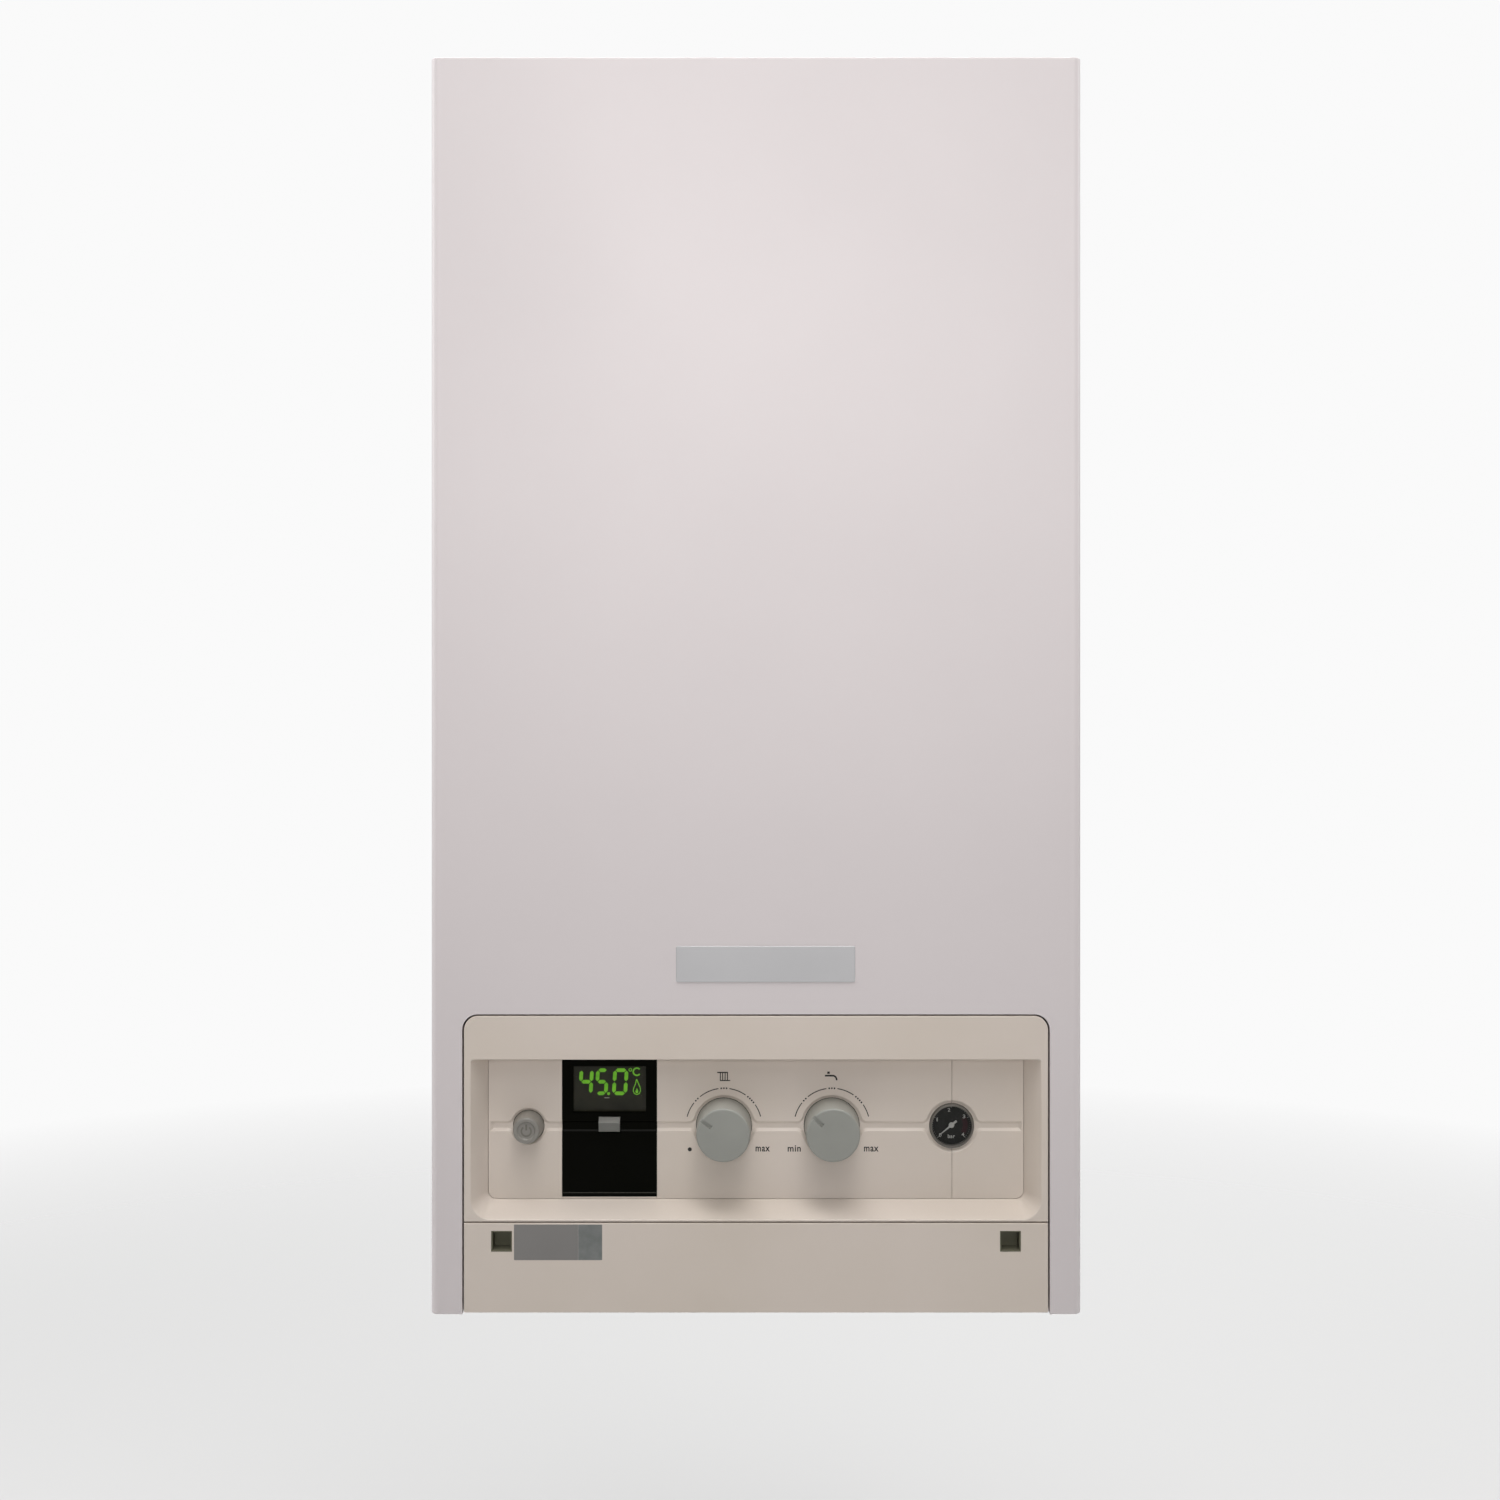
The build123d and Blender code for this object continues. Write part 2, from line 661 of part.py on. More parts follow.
with BuildPart() as burner_cover:
    exchanger_block(exchanger_top, cover_top, flange_reach)
    fillet(burner_cover.edges().filter_by(Axis.Z), 8)
    hood_low = (exchanger_left + hood_inset, exchanger_front + hood_inset, cover_top)
    hood_high = (hood_right, exchanger_rear - hood_inset, cover_top + hood_height)
    block(hood_low, hood_high)
    fillet(burner_cover.faces().sort_by(Axis.Z)[-1].edges(), 10)
    block(
        (hood_low[0] + hood_wall, hood_low[1] + hood_wall, exchanger_top),
        (hood_high[0] - hood_wall, hood_high[1] - hood_wall, hood_high[2] - hood_wall),
        Mode.SUBTRACT,
    )
    block(
        (hood_right - hood_wall, port_y - duct_depth / 2 + hood_wall, duct_bottom + hood_wall),
        (hood_right, port_y + duct_depth / 2 - hood_wall, duct_top - hood_wall),
        Mode.SUBTRACT,
    )
    for x in nut_xs:
        for y in nut_ys:
            rod((x, y, exchanger_top), (x, y, cover_top), stud_thread_radius + stud_fit, Mode.SUBTRACT)
save(burner_cover, "burner_cover")

with BuildPart() as cover_nuts:
    for x in nut_xs:
        for y in nut_ys:
            with BuildSketch(Plane.XY.offset(cover_top)):
                with Locations((x, y)):
                    RegularPolygon(nut_radius, 6)
            extrude(amount=nut_height)
            rod((x, y, exchanger_top), (x, y, cover_top + nut_height + 3), stud_thread_radius)
save(cover_nuts, "cover_nuts")

# Stainless premix burner: a tray with a slotted face, hung from the underside of the cover.
burner_depth = 22.0
burner_wall = 1.5
burner_rim = 2.0
burner_inset = 24.0
slot_pitch = 12.0
slot_width = 3.0
slot_margin = 7.0
slot_length = exchanger_rear - exchanger_front - 2 * (burner_inset + slot_margin)
slot_row = exchanger_right - exchanger_left - 2 * (burner_inset + slot_margin)
slot_count = round(slot_row / slot_pitch)
with BuildPart() as burner:
    exchanger_block(exchanger_top - burner_rim, exchanger_top, -exchanger_wall - 1.5)
    exchanger_block(exchanger_top - burner_depth, exchanger_top, -burner_inset)
    exchanger_block(
        exchanger_top - burner_depth + burner_wall,
        exchanger_top,
        -burner_inset - burner_wall,
        Mode.SUBTRACT,
    )
    with BuildSketch(Plane.XY.offset(exchanger_top - burner_depth)):
        with Locations(((exchanger_left + exchanger_right) / 2, port_y)):
            with GridLocations(slot_pitch, 1, slot_count, 1):
                SlotOverall(slot_length, slot_width, rotation=90)
    extrude(amount=burner_wall, mode=Mode.SUBTRACT)
save(burner, "burner")

# Ignition and flame-sensing electrodes: two wires in one ceramic, on a small plate.
plate_half = (16.0, 10.0)
wire_radius = 1.0
with BuildPart() as electrodes:
    face_y = exchanger_front - rib_depth
    block(
        (electrode_x - plate_half[0], face_y - 2.5, electrode_z - plate_half[1]),
        (electrode_x + plate_half[0], face_y, electrode_z + plate_half[1]),
    )
    rod(
        (electrode_x, face_y - 24, electrode_z),
        (electrode_x, exchanger_front + 14, electrode_z),
        electrode_radius,
    )
    rod(
        (electrode_x, exchanger_front + 14, electrode_z),
        (electrode_x, port_y, electrode_z),
        wire_radius,
    )
save(electrodes, "electrodes")

# Ignition unit, a potted transformer screwed to the left side frame.
unit_size = (30.0, 42.0, 70.0)
unit_drop = 200.0
with BuildPart() as ignition_unit:
    unit_x, unit_y = -frame_inner, flange_y + frame_sheet + 8.0
    block(
        (unit_x, unit_y, below_top(unit_drop + unit_size[2])),
        (unit_x + unit_size[0], unit_y + unit_size[1], below_top(unit_drop)),
    )
    fillet(ignition_unit.faces().sort_by(Axis.X)[-1].edges(), 5)
    spout_z = below_top(unit_drop + unit_size[2] / 2)
    spout_y = unit_y + unit_size[1] / 2
    rod(
        (unit_x + unit_size[0] - 1, spout_y, spout_z),
        (unit_x + unit_size[0] + 14, spout_y, spout_z),
        6,
    )
save(ignition_unit, "ignition_unit")

# ================================================================== fan
# The volute grows by one step in each quarter, from the tongue round to the outlet.
volute_start = 46.0
volute_step = 4.0
volute_wall = 3.0
fan_depth = 50.0
eye_radius = 25.0
shaft_radius = 4.0
shaft_fit = 0.05
impeller_radius = 39.0
impeller_gap = 2.5
blade_count = 18
blade_length = 15.0
blade_thick = 1.6
blade_lean = 35.0
hub_radius = 9.0
fan_z = duct_top - volute_start - 3.5 * volute_step
fan_front_y = port_y - fan_depth / 2
fan_rear_y = port_y + fan_depth / 2


def volute_outline(wall):
    """Spiral of four quarter arcs with its outlet, drawn inside by the wall's thickness."""
    half = volute_step / 2
    centres = ((-half, -half), (half, -half), (half, half), (-half, half))
    with BuildLine() as spiral:
        for turn, centre in enumerate(centres):
            CenterArc(centre, volute_start + turn * volute_step - wall, 90 + 90 * turn, 90)
        top = volute_start + 3 * volute_step + half - wall
        Line((-half, top), (-half, volute_start - half - wall))
    make_face(spiral.edges())
    outlet = fan_x - hood_right - half
    outlet_high = duct_height - 2 * wall
    with Locations((-half - outlet / 2, top - outlet_high / 2)):
        Rectangle(outlet, outlet_high)


with BuildPart() as fan_housing:
    with BuildSketch(Plane(origin=(fan_x, fan_front_y, fan_z), x_dir=(1, 0, 0), z_dir=(0, -1, 0))):
        volute_outline(0)
    extrude(amount=-fan_depth)
    with BuildSketch(
        Plane(origin=(fan_x, fan_front_y + volute_wall, fan_z), x_dir=(1, 0, 0), z_dir=(0, -1, 0))
    ):
        volute_outline(volute_wall)
    extrude(amount=-fan_depth + 2 * volute_wall, mode=Mode.SUBTRACT)
    rod(
        (fan_x, fan_front_y, fan_z),
        (fan_x, fan_front_y + volute_wall, fan_z),
        eye_radius,
        Mode.SUBTRACT,
    )
    rod((fan_x, fan_rear_y - volute_wall, fan_z), (fan_x, fan_rear_y, fan_z), hub_radius, Mode.SUBTRACT)
save(fan_housing, "fan_housing")

# Backward-leaning blades between a back disc and a front ring, on the motor's shaft.
with BuildPart() as fan_impeller:
    wheel_front = fan_front_y + volute_wall + impeller_gap
    wheel_rear = fan_rear_y - volute_wall - impeller_gap
    disc_thick = 2.0
    wheel = Plane(origin=(fan_x, wheel_rear, fan_z), x_dir=(1, 0, 0), z_dir=(0, -1, 0))
    with BuildSketch(wheel):
        Circle(impeller_radius)
    extrude(amount=disc_thick)
    with BuildSketch(wheel):
        with PolarLocations(impeller_radius - blade_length / 2 - 1, blade_count):
            Rectangle(blade_length, blade_thick, rotation=blade_lean)
    extrude(amount=wheel_rear - wheel_front)
    with BuildSketch(wheel.offset(wheel_rear - wheel_front - disc_thick)):
        Circle(impeller_radius)
        Circle(eye_radius, mode=Mode.SUBTRACT)
    extrude(amount=disc_thick)
    rod((fan_x, wheel_rear, fan_z), (fan_x, wheel_rear - 14, fan_z), hub_radius)
    rod((fan_x, wheel_rear, fan_z), (fan_x, fan_rear_y + 30, fan_z), shaft_radius)
save(fan_impeller, "fan_impeller")

# Fan motor on the rear of the housing, with cooling ribs and a plug socket on top.
motor_radius = 32.0
motor_length = 42.0
motor_ribs = 16
with BuildPart() as fan_motor:
    motor_face = Plane(origin=(fan_x, fan_rear_y, fan_z), x_dir=(1, 0, 0), z_dir=(0, 1, 0))
    with BuildSketch(motor_face):
        Circle(motor_radius)
        with PolarLocations(motor_radius, motor_ribs):
            Rectangle(5, 3)
    extrude(amount=motor_length)
    block(
        (fan_x - 12, fan_rear_y + 10, fan_z + motor_radius - 3),
        (fan_x + 12, fan_rear_y + 30, fan_z + motor_radius + 9),
    )
    rod(
        (fan_x, fan_rear_y, fan_z),
        (fan_x, fan_rear_y + 33, fan_z),
        shaft_radius + shaft_fit,
        Mode.SUBTRACT,
    )
save(fan_motor, "fan_motor")

# Venturi that mixes gas into the air, turned from aluminium, with its gas port underneath.
venturi_length = 44.0
venturi_flange = 33.0
venturi_body = 26.0
throat_radius = 12.0
gas_port_drop = 36.0
gas_port_radius = 12.0
gas_pipe_radius = 8.0
venturi_front_y = fan_front_y - venturi_length
gas_y = fan_front_y - venturi_length / 2
gas_port_z = fan_z - gas_port_drop
with BuildPart() as venturi:
    with BuildSketch(Plane(origin=(fan_x, fan_front_y, fan_z), x_dir=(1, 0, 0), z_dir=(0, 0, 1))):
        with BuildLine():
            Polyline(
                (eye_radius - 3, 0),
                (venturi_flange, 0),
                (venturi_flange, -5),
                (venturi_body, -7),
                (venturi_body, -venturi_length + 6),
                (venturi_flange - 4, -venturi_length + 6),
                (venturi_flange - 4, -venturi_length),
                (eye_radius - 5, -venturi_length),
                (throat_radius, -venturi_length / 2),
                close=True,
            )
        make_face()
    revolve(axis=Axis((fan_x, fan_front_y, fan_z), (0, 1, 0)))
    rod((fan_x, gas_y, gas_port_z), (fan_x, gas_y, fan_z - throat_radius - 3), gas_port_radius)
    rod((fan_x, gas_y, gas_port_z), (fan_x, gas_y, fan_z), gas_pipe_radius - 3, Mode.SUBTRACT)
save(venturi, "venturi")

# Intake silencer, a blow-moulded box that takes air from the top of the casing to the venturi.
silencer_half = 34.0
silencer_room = 6.8  # from the casing to the silencer
silencer_wall = 2.0
silencer_top = below_top(55.0)
with BuildPart() as intake_silencer:
    silencer_y = inner_front_y + silencer_room
    low = Vector(fan_x - silencer_half, silencer_y, fan_z - silencer_half)
    high = Vector(fan_x + silencer_half, venturi_front_y, silencer_top)
    block(low, high)
    fillet(intake_silencer.edges().filter_by(Axis.Z), 5)
    fillet(intake_silencer.edges().group_by(Axis.Z)[0], 4)
    inset = Vector(silencer_wall, silencer_wall, silencer_wall)
    block(low + inset, (high.X - silencer_wall, high.Y - silencer_wall, high.Z), Mode.SUBTRACT)
    rod(
        (fan_x, venturi_front_y - silencer_wall, fan_z),
        (fan_x, venturi_front_y, fan_z),
        eye_radius - 5,
        Mode.SUBTRACT,
    )
save(intake_silencer, "intake_silencer")

# ================================================================== gas train
# Die-cast gas valve bolted under the venturi: body, two coils on its left, a governor in front.
valve_height = 86.0
valve_half = 27.0
valve_depth = 42.0
coil_radius = 13.0
coil_length = 30.0
union_depth = 10.0  # how far a pipe enters its socket
valve_top = gas_port_z
valve_bottom = valve_top - valve_height
with BuildPart() as gas_valve:
    block(
        (fan_x - valve_half, gas_y - valve_depth / 2, valve_bottom + 10),
        (fan_x + valve_half, gas_y + valve_depth / 2, valve_top - 14),
    )
    fillet(gas_valve.edges(), 4)
    rod((fan_x, gas_y, valve_bottom), (fan_x, gas_y, valve_top), gas_port_radius + 3)
    valve_middle = (valve_top + valve_bottom) / 2
    for z in (valve_middle - 16, valve_middle + 14):
        rod(
            (fan_x - valve_half + 2, gas_y, z),
            (fan_x - valve_half - coil_length, gas_y, z),
            coil_radius,
        )
    governor_y = gas_y - valve_depth / 2
    rod((fan_x, governor_y + 2, valve_middle), (fan_x, governor_y - 10, valve_middle), 15)
    rod(
        (fan_x, gas_y, valve_bottom),
        (fan_x, gas_y, valve_bottom + union_depth),
        gas_pipe_radius + pipe_fit,
        Mode.SUBTRACT,
    )
save(gas_valve, "gas_valve")


def pipe(points, radius, bend):
    """A drawn tube along straight runs with equal bends."""
    with BuildLine() as path:
        FilletPolyline(*points, radius=bend)
    with BuildSketch(Plane(origin=path.line @ 0, z_dir=path.line % 0)) as section:
        Circle(radius)
    sweep(section.sketch, path=path.line)


# Steel gas pipe from the gas tail at the foot up to the valve.
pipe_bend = 26.0
gas_tail_up = 110.0  # above the casing's bottom, as for all that follows
gas_turn_up = 258.0
gas_feed_up = 310.0
gas_tail_z = above_base(gas_tail_up)
gas_turn_z = above_base(gas_turn_up)
gas_feed_z = above_base(gas_feed_up)
with BuildPart() as gas_pipe:
    pipe(
        (
            (0, tail_y, gas_tail_z),
            (0, tail_y, gas_turn_z),
            (fan_x, gas_y, gas_feed_z),
            (fan_x, gas_y, valve_bottom + union_depth),
        ),
        gas_pipe_radius,
        pipe_bend,
    )
save(gas_pipe, "gas_pipe")

# ================================================================== water side
# Flat expansion vessel against the back plate: two pressed halves joined by a rolled seam.
vessel_width = 340.0
vessel_height = 400.0
vessel_depth = 66.0
vessel_corner = 70.0
vessel_drop = 100.0
vessel_edge = 22.0
seam_reach = 4.0
seam_width = 5.0
vessel_port_x = 72.0
vessel_port_radius = 9.0
vessel_pipe_radius = 5.0
vessel_rear_y = chassis_y - bead_depth - slide_gap
vessel_y = vessel_rear_y - vessel_depth / 2
vessel_bottom = below_top(vessel_drop + vessel_height)
vessel_wall = 1.5
vessel_middle = below_top(vessel_drop + vessel_height / 2)


def vessel_form(shell):
    """The vessel's rounded form, drawn in on every side by a wall."""
    rear = Plane.XZ.offset(-vessel_rear_y + shell)
    with BuildSketch(rear) as outline:
        with Locations((0, vessel_middle)):
            RectangleRounded(vessel_width - 2 * shell, vessel_height - 2 * shell, vessel_corner - shell)
    extrude(outline.sketch, amount=vessel_depth - 2 * shell)
    fillet(faces().sort_by(Axis.Y)[0].edges(), vessel_edge - shell)
    fillet(faces().sort_by(Axis.Y)[-1].edges(), vessel_edge - shell)


with BuildPart() as vessel_space:
    vessel_form(vessel_wall)

with BuildPart() as expansion_vessel:
    vessel_form(0.0)
    with BuildSketch(Plane.XZ.offset(-vessel_y - seam_width / 2)):
        with Locations((0, vessel_middle)):
            RectangleRounded(
                vessel_width + 2 * seam_reach,
                vessel_height + 2 * seam_reach,
                vessel_corner + seam_reach,
            )
    extrude(amount=seam_width)
    rod(
        (vessel_port_x, vessel_y, vessel_bottom + 5),
        (vessel_port_x, vessel_y, vessel_bottom - 16),
        vessel_port_radius,
    )
    add(vessel_space.part, mode=Mode.SUBTRACT)
    rod(
        (vessel_port_x, vessel_y, vessel_bottom + 5),
        (vessel_port_x, vessel_y, vessel_bottom - 16),
        vessel_pipe_radius - 1,
        Mode.SUBTRACT,
    )
save(expansion_vessel, "expansion_vessel")

# Flow group at the left: a moulded manifold on the heating-flow and tap-water tails, with a tower
# for the diverter valve, two necks for the plate exchanger and one for the relief valve.
group_up = 50.0  # foot of both groups, where the tails enter
main_up = 92.0  # axis of the cross channels
tower_up = 146.0
manifold_radius = 20.0
neck_radius = 13.0
neck_reach = 55.0  # plate exchanger's rear in front of the tails
plate_neck_x = 80.0
plate_neck_pitch = 44.0
diverter_reach = 32.0  # from the flow tail to the diverter valve
diverter_bore = 10.0
diverter_depth = 62.0
socket_depth = 12.0
group_z = above_base(group_up)
main_z = above_base(main_up)
tower_z = above_base(tower_up)
plate_rear_y = tail_y - neck_reach
flow_tail_x = -2 * tail_pitch
diverter_x = flow_tail_x + diverter_reach
relief_seat_x = flow_tail_x - 28.0
with BuildPart() as flow_group:
    rod((relief_seat_x, tail_y, main_z), (-tail_pitch, tail_y, main_z), manifold_radius - 4)
    rod((flow_tail_x, tail_y, group_z), (flow_tail_x, tail_y, tower_z), manifold_radius)
    rod(
        (-tail_pitch, tail_y, group_z),
        (-tail_pitch, tail_y, main_z + manifold_radius - 4),
        manifold_radius - 3,
    )
    rod((diverter_x, tail_y, main_z), (diverter_x, tail_y, tower_z), diverter_bore + 6)
    for z in (main_z + plate_neck_pitch / 2 - 8, main_z - plate_neck_pitch / 2 - 8):
        block((-plate_neck_x - 9, plate_rear_y + 6, z - 9), (-plate_neck_x + 9, tail_y, z + 9))
        rod((-plate_neck_x, plate_rear_y, z), (-plate_neck_x, plate_rear_y + 8, z), neck_radius)
    for x, radius in (tails[0], tails[1]):
        rod((x, tail_y, group_z), (x, tail_y, group_z + socket_depth), radius + pipe_fit, Mode.SUBTRACT)
    rod(
        (flow_tail_x, tail_y, tower_z - socket_depth),
        (flow_tail_x, tail_y, tower_z),
        pipe_radius + pipe_fit,
        Mode.SUBTRACT,
    )
    rod(
        (diverter_x, tail_y, tower_z - diverter_depth),
        (diverter_x, tail_y, tower_z),
        diverter_bore,
        Mode.SUBTRACT,
    )
    rod((relief_seat_x, tail_y, main_z), (relief_seat_x + 10, tail_y, main_z), 6, Mode.SUBTRACT)
save(flow_group, "flow_group")

# Diverter valve: a motor clipped on the tower, and the stem that it pushes down.
stem_radius = 4.0
stem_travel = 6.0
valve_disc_radius = 9.0
motor_size = (40.0, 46.0, 56.0)
with BuildPart() as diverter_motor:
    motor_low = (diverter_x - motor_size[0] / 2, tail_y - motor_size[1] / 2, tower_z + 8)
    block(
        motor_low,
        (diverter_x + motor_size[0] / 2, tail_y + motor_size[1] / 2, tower_z + motor_size[2]),
    )
    fillet(diverter_motor.edges().filter_by(Axis.Z), 6)
    fillet(diverter_motor.edges().group_by(Axis.Z)[-1], 3)
    rod((diverter_x, tail_y, tower_z), (diverter_x, tail_y, tower_z + 10), diverter_bore + 5)
    rod(
        (diverter_x, tail_y, tower_z),
        (diverter_x, tail_y, tower_z + 30),
        stem_radius + shaft_fit,
        Mode.SUBTRACT,
    )
save(diverter_motor, "diverter_motor")

with BuildPart() as diverter_stem:
    disc_z = tower_z - diverter_depth + stem_travel + 8
    rod((diverter_x, tail_y, disc_z), (diverter_x, tail_y, tower_z + 24), stem_radius)
    rod((diverter_x, tail_y, disc_z), (diverter_x, tail_y, disc_z + 5), valve_disc_radius)
save(diverter_stem, "diverter_stem")

# Relief valve on the flow group's left end, with its discharge pipe, and the red knob that opens it.
relief_radius = 13.0
relief_length = 28.0
relief_spindle = 3.0
relief_knob_radius = 13.5
relief_knob_length = 15.0
cuff_length = 20.0  # thicker ends of the two waste pipes
cuff_step = 1.0
waste_reveal = 28.0  # waste pipes below the casing
waste_z = bottom_z - waste_reveal
relief_end_x = relief_seat_x - relief_length
with BuildPart() as relief_valve:
    rod((relief_seat_x, tail_y, main_z), (relief_end_x, tail_y, main_z), relief_radius)
    rod((relief_x, tail_y, main_z), (relief_x, tail_y, waste_z), relief_pipe_radius)
    rod(
        (relief_x, tail_y, waste_z),
        (relief_x, tail_y, waste_z + cuff_length),
        relief_pipe_radius + cuff_step,
    )
    rod((relief_x, tail_y, waste_z), (relief_x, tail_y, main_z), relief_pipe_radius - 1, Mode.SUBTRACT)
    rod(
        (relief_end_x, tail_y, main_z),
        (relief_end_x + 14, tail_y, main_z),
        relief_spindle + shaft_fit,
        Mode.SUBTRACT,
    )
save(relief_valve, "relief_valve")

with BuildPart() as relief_knob:
    knob_seat_x = relief_end_x - slide_gap
    rod((relief_end_x + 12, tail_y, main_z), (knob_seat_x - 2, tail_y, main_z), relief_spindle)
    with BuildSketch(Plane(origin=(knob_seat_x, tail_y, main_z), x_dir=(0, 1, 0), z_dir=(-1, 0, 0))):
        Circle(relief_knob_radius)
        with PolarLocations(relief_knob_radius + 1, 8):
            Circle(2.5, mode=Mode.SUBTRACT)
    extrude(amount=relief_knob_length)
save(relief_knob, "relief_knob")

# Return group at the right: it leads the heating return up into the pump, and the cold water
# from the flow sensor to the plate exchanger.
pump_up = 170.0
pump_seat_up = 122.0
sensor_top_up = 51.0
pump_x = 2 * tail_pitch
pump_z = above_base(pump_up)
pump_seat_z = above_base(pump_seat_up)
sensor_z = above_base(sensor_top_up)
with BuildPart() as return_group:
    rod((pump_x, tail_y, group_z), (pump_x, tail_y, pump_seat_z), manifold_radius)
    rod((pump_x, tail_y, main_z), (tail_pitch, tail_y, main_z), manifold_radius - 5)
    rod(
        (tail_pitch, tail_y, sensor_z),
        (tail_pitch, tail_y, main_z + manifold_radius),
        manifold_radius - 3,
    )
    for z in (main_z + plate_neck_pitch / 2 - 8, main_z - plate_neck_pitch / 2 - 8):
        block((plate_neck_x - 9, plate_rear_y + 6, z - 9), (plate_neck_x + 9, tail_y, z + 9))
        rod((plate_neck_x, plate_rear_y, z), (plate_neck_x, plate_rear_y + 8, z), neck_radius)
    rod((vessel_port_x, tail_y, main_z), (vessel_port_x, tail_y + 32, main_z), 11)
    rod(
        (pump_x, tail_y, group_z),
        (pump_x, tail_y, group_z + socket_depth),
        large_tail_radius + pipe_fit,
        Mode.SUBTRACT,
    )
    rod(
        (vessel_port_x, tail_y + 32 - union_depth, main_z),
        (vessel_port_x, tail_y + 32, main_z),
        vessel_pipe_radius + pipe_fit,
        Mode.SUBTRACT,
    )
save(return_group, "return_group")

# Brazed plate heat exchanger for the tap water, screwed to the necks of both groups.
plate_pack = (196.0, 76.0)
pack_depth = 48.0
plate_pairs = 8
plate_corner = 14.0
plate_thick = pack_depth / (2 * plate_pairs + 1)
pack_front_y = plate_rear_y - pack_depth
with BuildPart() as plate_exchanger:
    for layer in range(2 * plate_pairs + 1):
        with BuildSketch(Plane.XZ.offset(-plate_rear_y + layer * plate_thick)):
            with Locations((0, main_z - 8)):
                inset = 0.0 if layer % 2 == 0 else 1.6
                RectangleRounded(
                    plate_pack[0] - 2 * inset,
                    plate_pack[1] - 2 * inset,
                    plate_corner - inset,
                )
        extrude(amount=plate_thick)
save(plate_exchanger, "plate_exchanger")

# Flow sensor between the cold-water tail and the return group, with a turbine on a short axle.
sensor_radius = 16.0
sensor_length = 36.0
turbine_bore = 9.5
axle_radius = 1.5
with BuildPart() as flow_sensor:
    sensor_foot = sensor_z - sensor_length
    rod((tail_pitch, tail_y, sensor_foot), (tail_pitch, tail_y, sensor_z), sensor_radius)
    block((tail_pitch - 8, tail_y - 24, sensor_foot + 8), (tail_pitch + 8, tail_y - 10, sensor_z - 6))
    rod(
        (tail_pitch, tail_y, sensor_foot),
        (tail_pitch, tail_y, sensor_foot + socket_depth),
        small_tail_radius + pipe_fit,
        Mode.SUBTRACT,
    )
    rod(
        (tail_pitch, tail_y, sensor_foot),
        (tail_pitch, tail_y, sensor_z - 6),
        turbine_bore,
        Mode.SUBTRACT,
    )
    rod(
        (tail_pitch, tail_y, sensor_foot),
        (tail_pitch, tail_y, sensor_z - 1.5),
        axle_radius + shaft_fit,
        Mode.SUBTRACT,
    )
save(flow_sensor, "flow_sensor")

with BuildPart() as flow_turbine:
    rod((tail_pitch, tail_y, sensor_z - 22), (tail_pitch, tail_y, sensor_z - 2), axle_radius)
    with BuildSketch(Plane.XY.offset(sensor_z - 20)):
        with Locations((tail_pitch, tail_y)):
            Circle(3)
            with PolarLocations(5.5, 6):
                Rectangle(6, 1.2, rotation=25)
    extrude(amount=12)
save(flow_turbine, "flow_turbine")

# Pump: cast housing with its air vent, a vaned impeller, and the wet-rotor motor in front.
pump_radius = 44.0
pump_rear = 26.0  # housing behind the tails' plane
pump_front = 22.0
pump_bore = 31.0
pump_impeller_radius = 27.0
pump_shaft_radius = 3.0
pump_motor_radius = 36.0
pump_motor_length = 58.0
outlet_up = 222.0
vent_reach = 58.0
vent_radius = 11.0
vent_cap = 5.0
vent_up = 232.0
pump_face_y = tail_y - pump_front
outlet_z = above_base(outlet_up)
vent_x = pump_x + vent_reach
vent_z = above_base(vent_up)
with BuildPart() as pump_housing:
    rod((pump_x, tail_y + pump_rear, pump_z), (pump_x, pump_face_y, pump_z), pump_radius)
    fillet(pump_housing.faces().sort_by(Axis.Y)[-1].edges(), 8)
    rod((pump_x, tail_y, pump_seat_z), (pump_x, tail_y, pump_z), manifold_radius)
    rod((pump_x, tail_y, pump_z), (pump_x, tail_y, outlet_z), boss_radius)
    rod((pump_x, tail_y, pump_z + 8), (vent_x, tail_y, pump_z + 8), 9)
    rod((vent_x, tail_y, pump_z - 4), (vent_x, tail_y, vent_z), vent_radius)
    rod((vent_x, tail_y, vent_z), (vent_x, tail_y, vent_z + vent_cap), vent_cap)
    rod((pump_x, pump_face_y, pump_z), (pump_x, tail_y + 8, pump_z), pump_bore, Mode.SUBTRACT)
    rod(
        (pump_x, tail_y, outlet_z - socket_depth),
        (pump_x, tail_y, outlet_z),
        pipe_radius + pipe_fit,
        Mode.SUBTRACT,
    )
save(pump_housing, "pump_housing")

with BuildPart() as pump_impeller:
    wheel = Plane(origin=(pump_x, pump_face_y + 20, pump_z), x_dir=(1, 0, 0), z_dir=(0, -1, 0))
    with BuildSketch(wheel):
        Circle(pump_impeller_radius)
    extrude(amount=2.5)
    with BuildSketch(wheel):
        with PolarLocations(17, 6):
            Rectangle(17, 2.2, rotation=40)
    extrude(amount=11)
    rod((pump_x, pump_face_y + 20, pump_z), (pump_x, pump_face_y + 8, pump_z), 8)
    rod((pump_x, pump_face_y + 20, pump_z), (pump_x, pump_face_y - 38, pump_z), pump_shaft_radius)
save(pump_impeller, "pump_impeller")

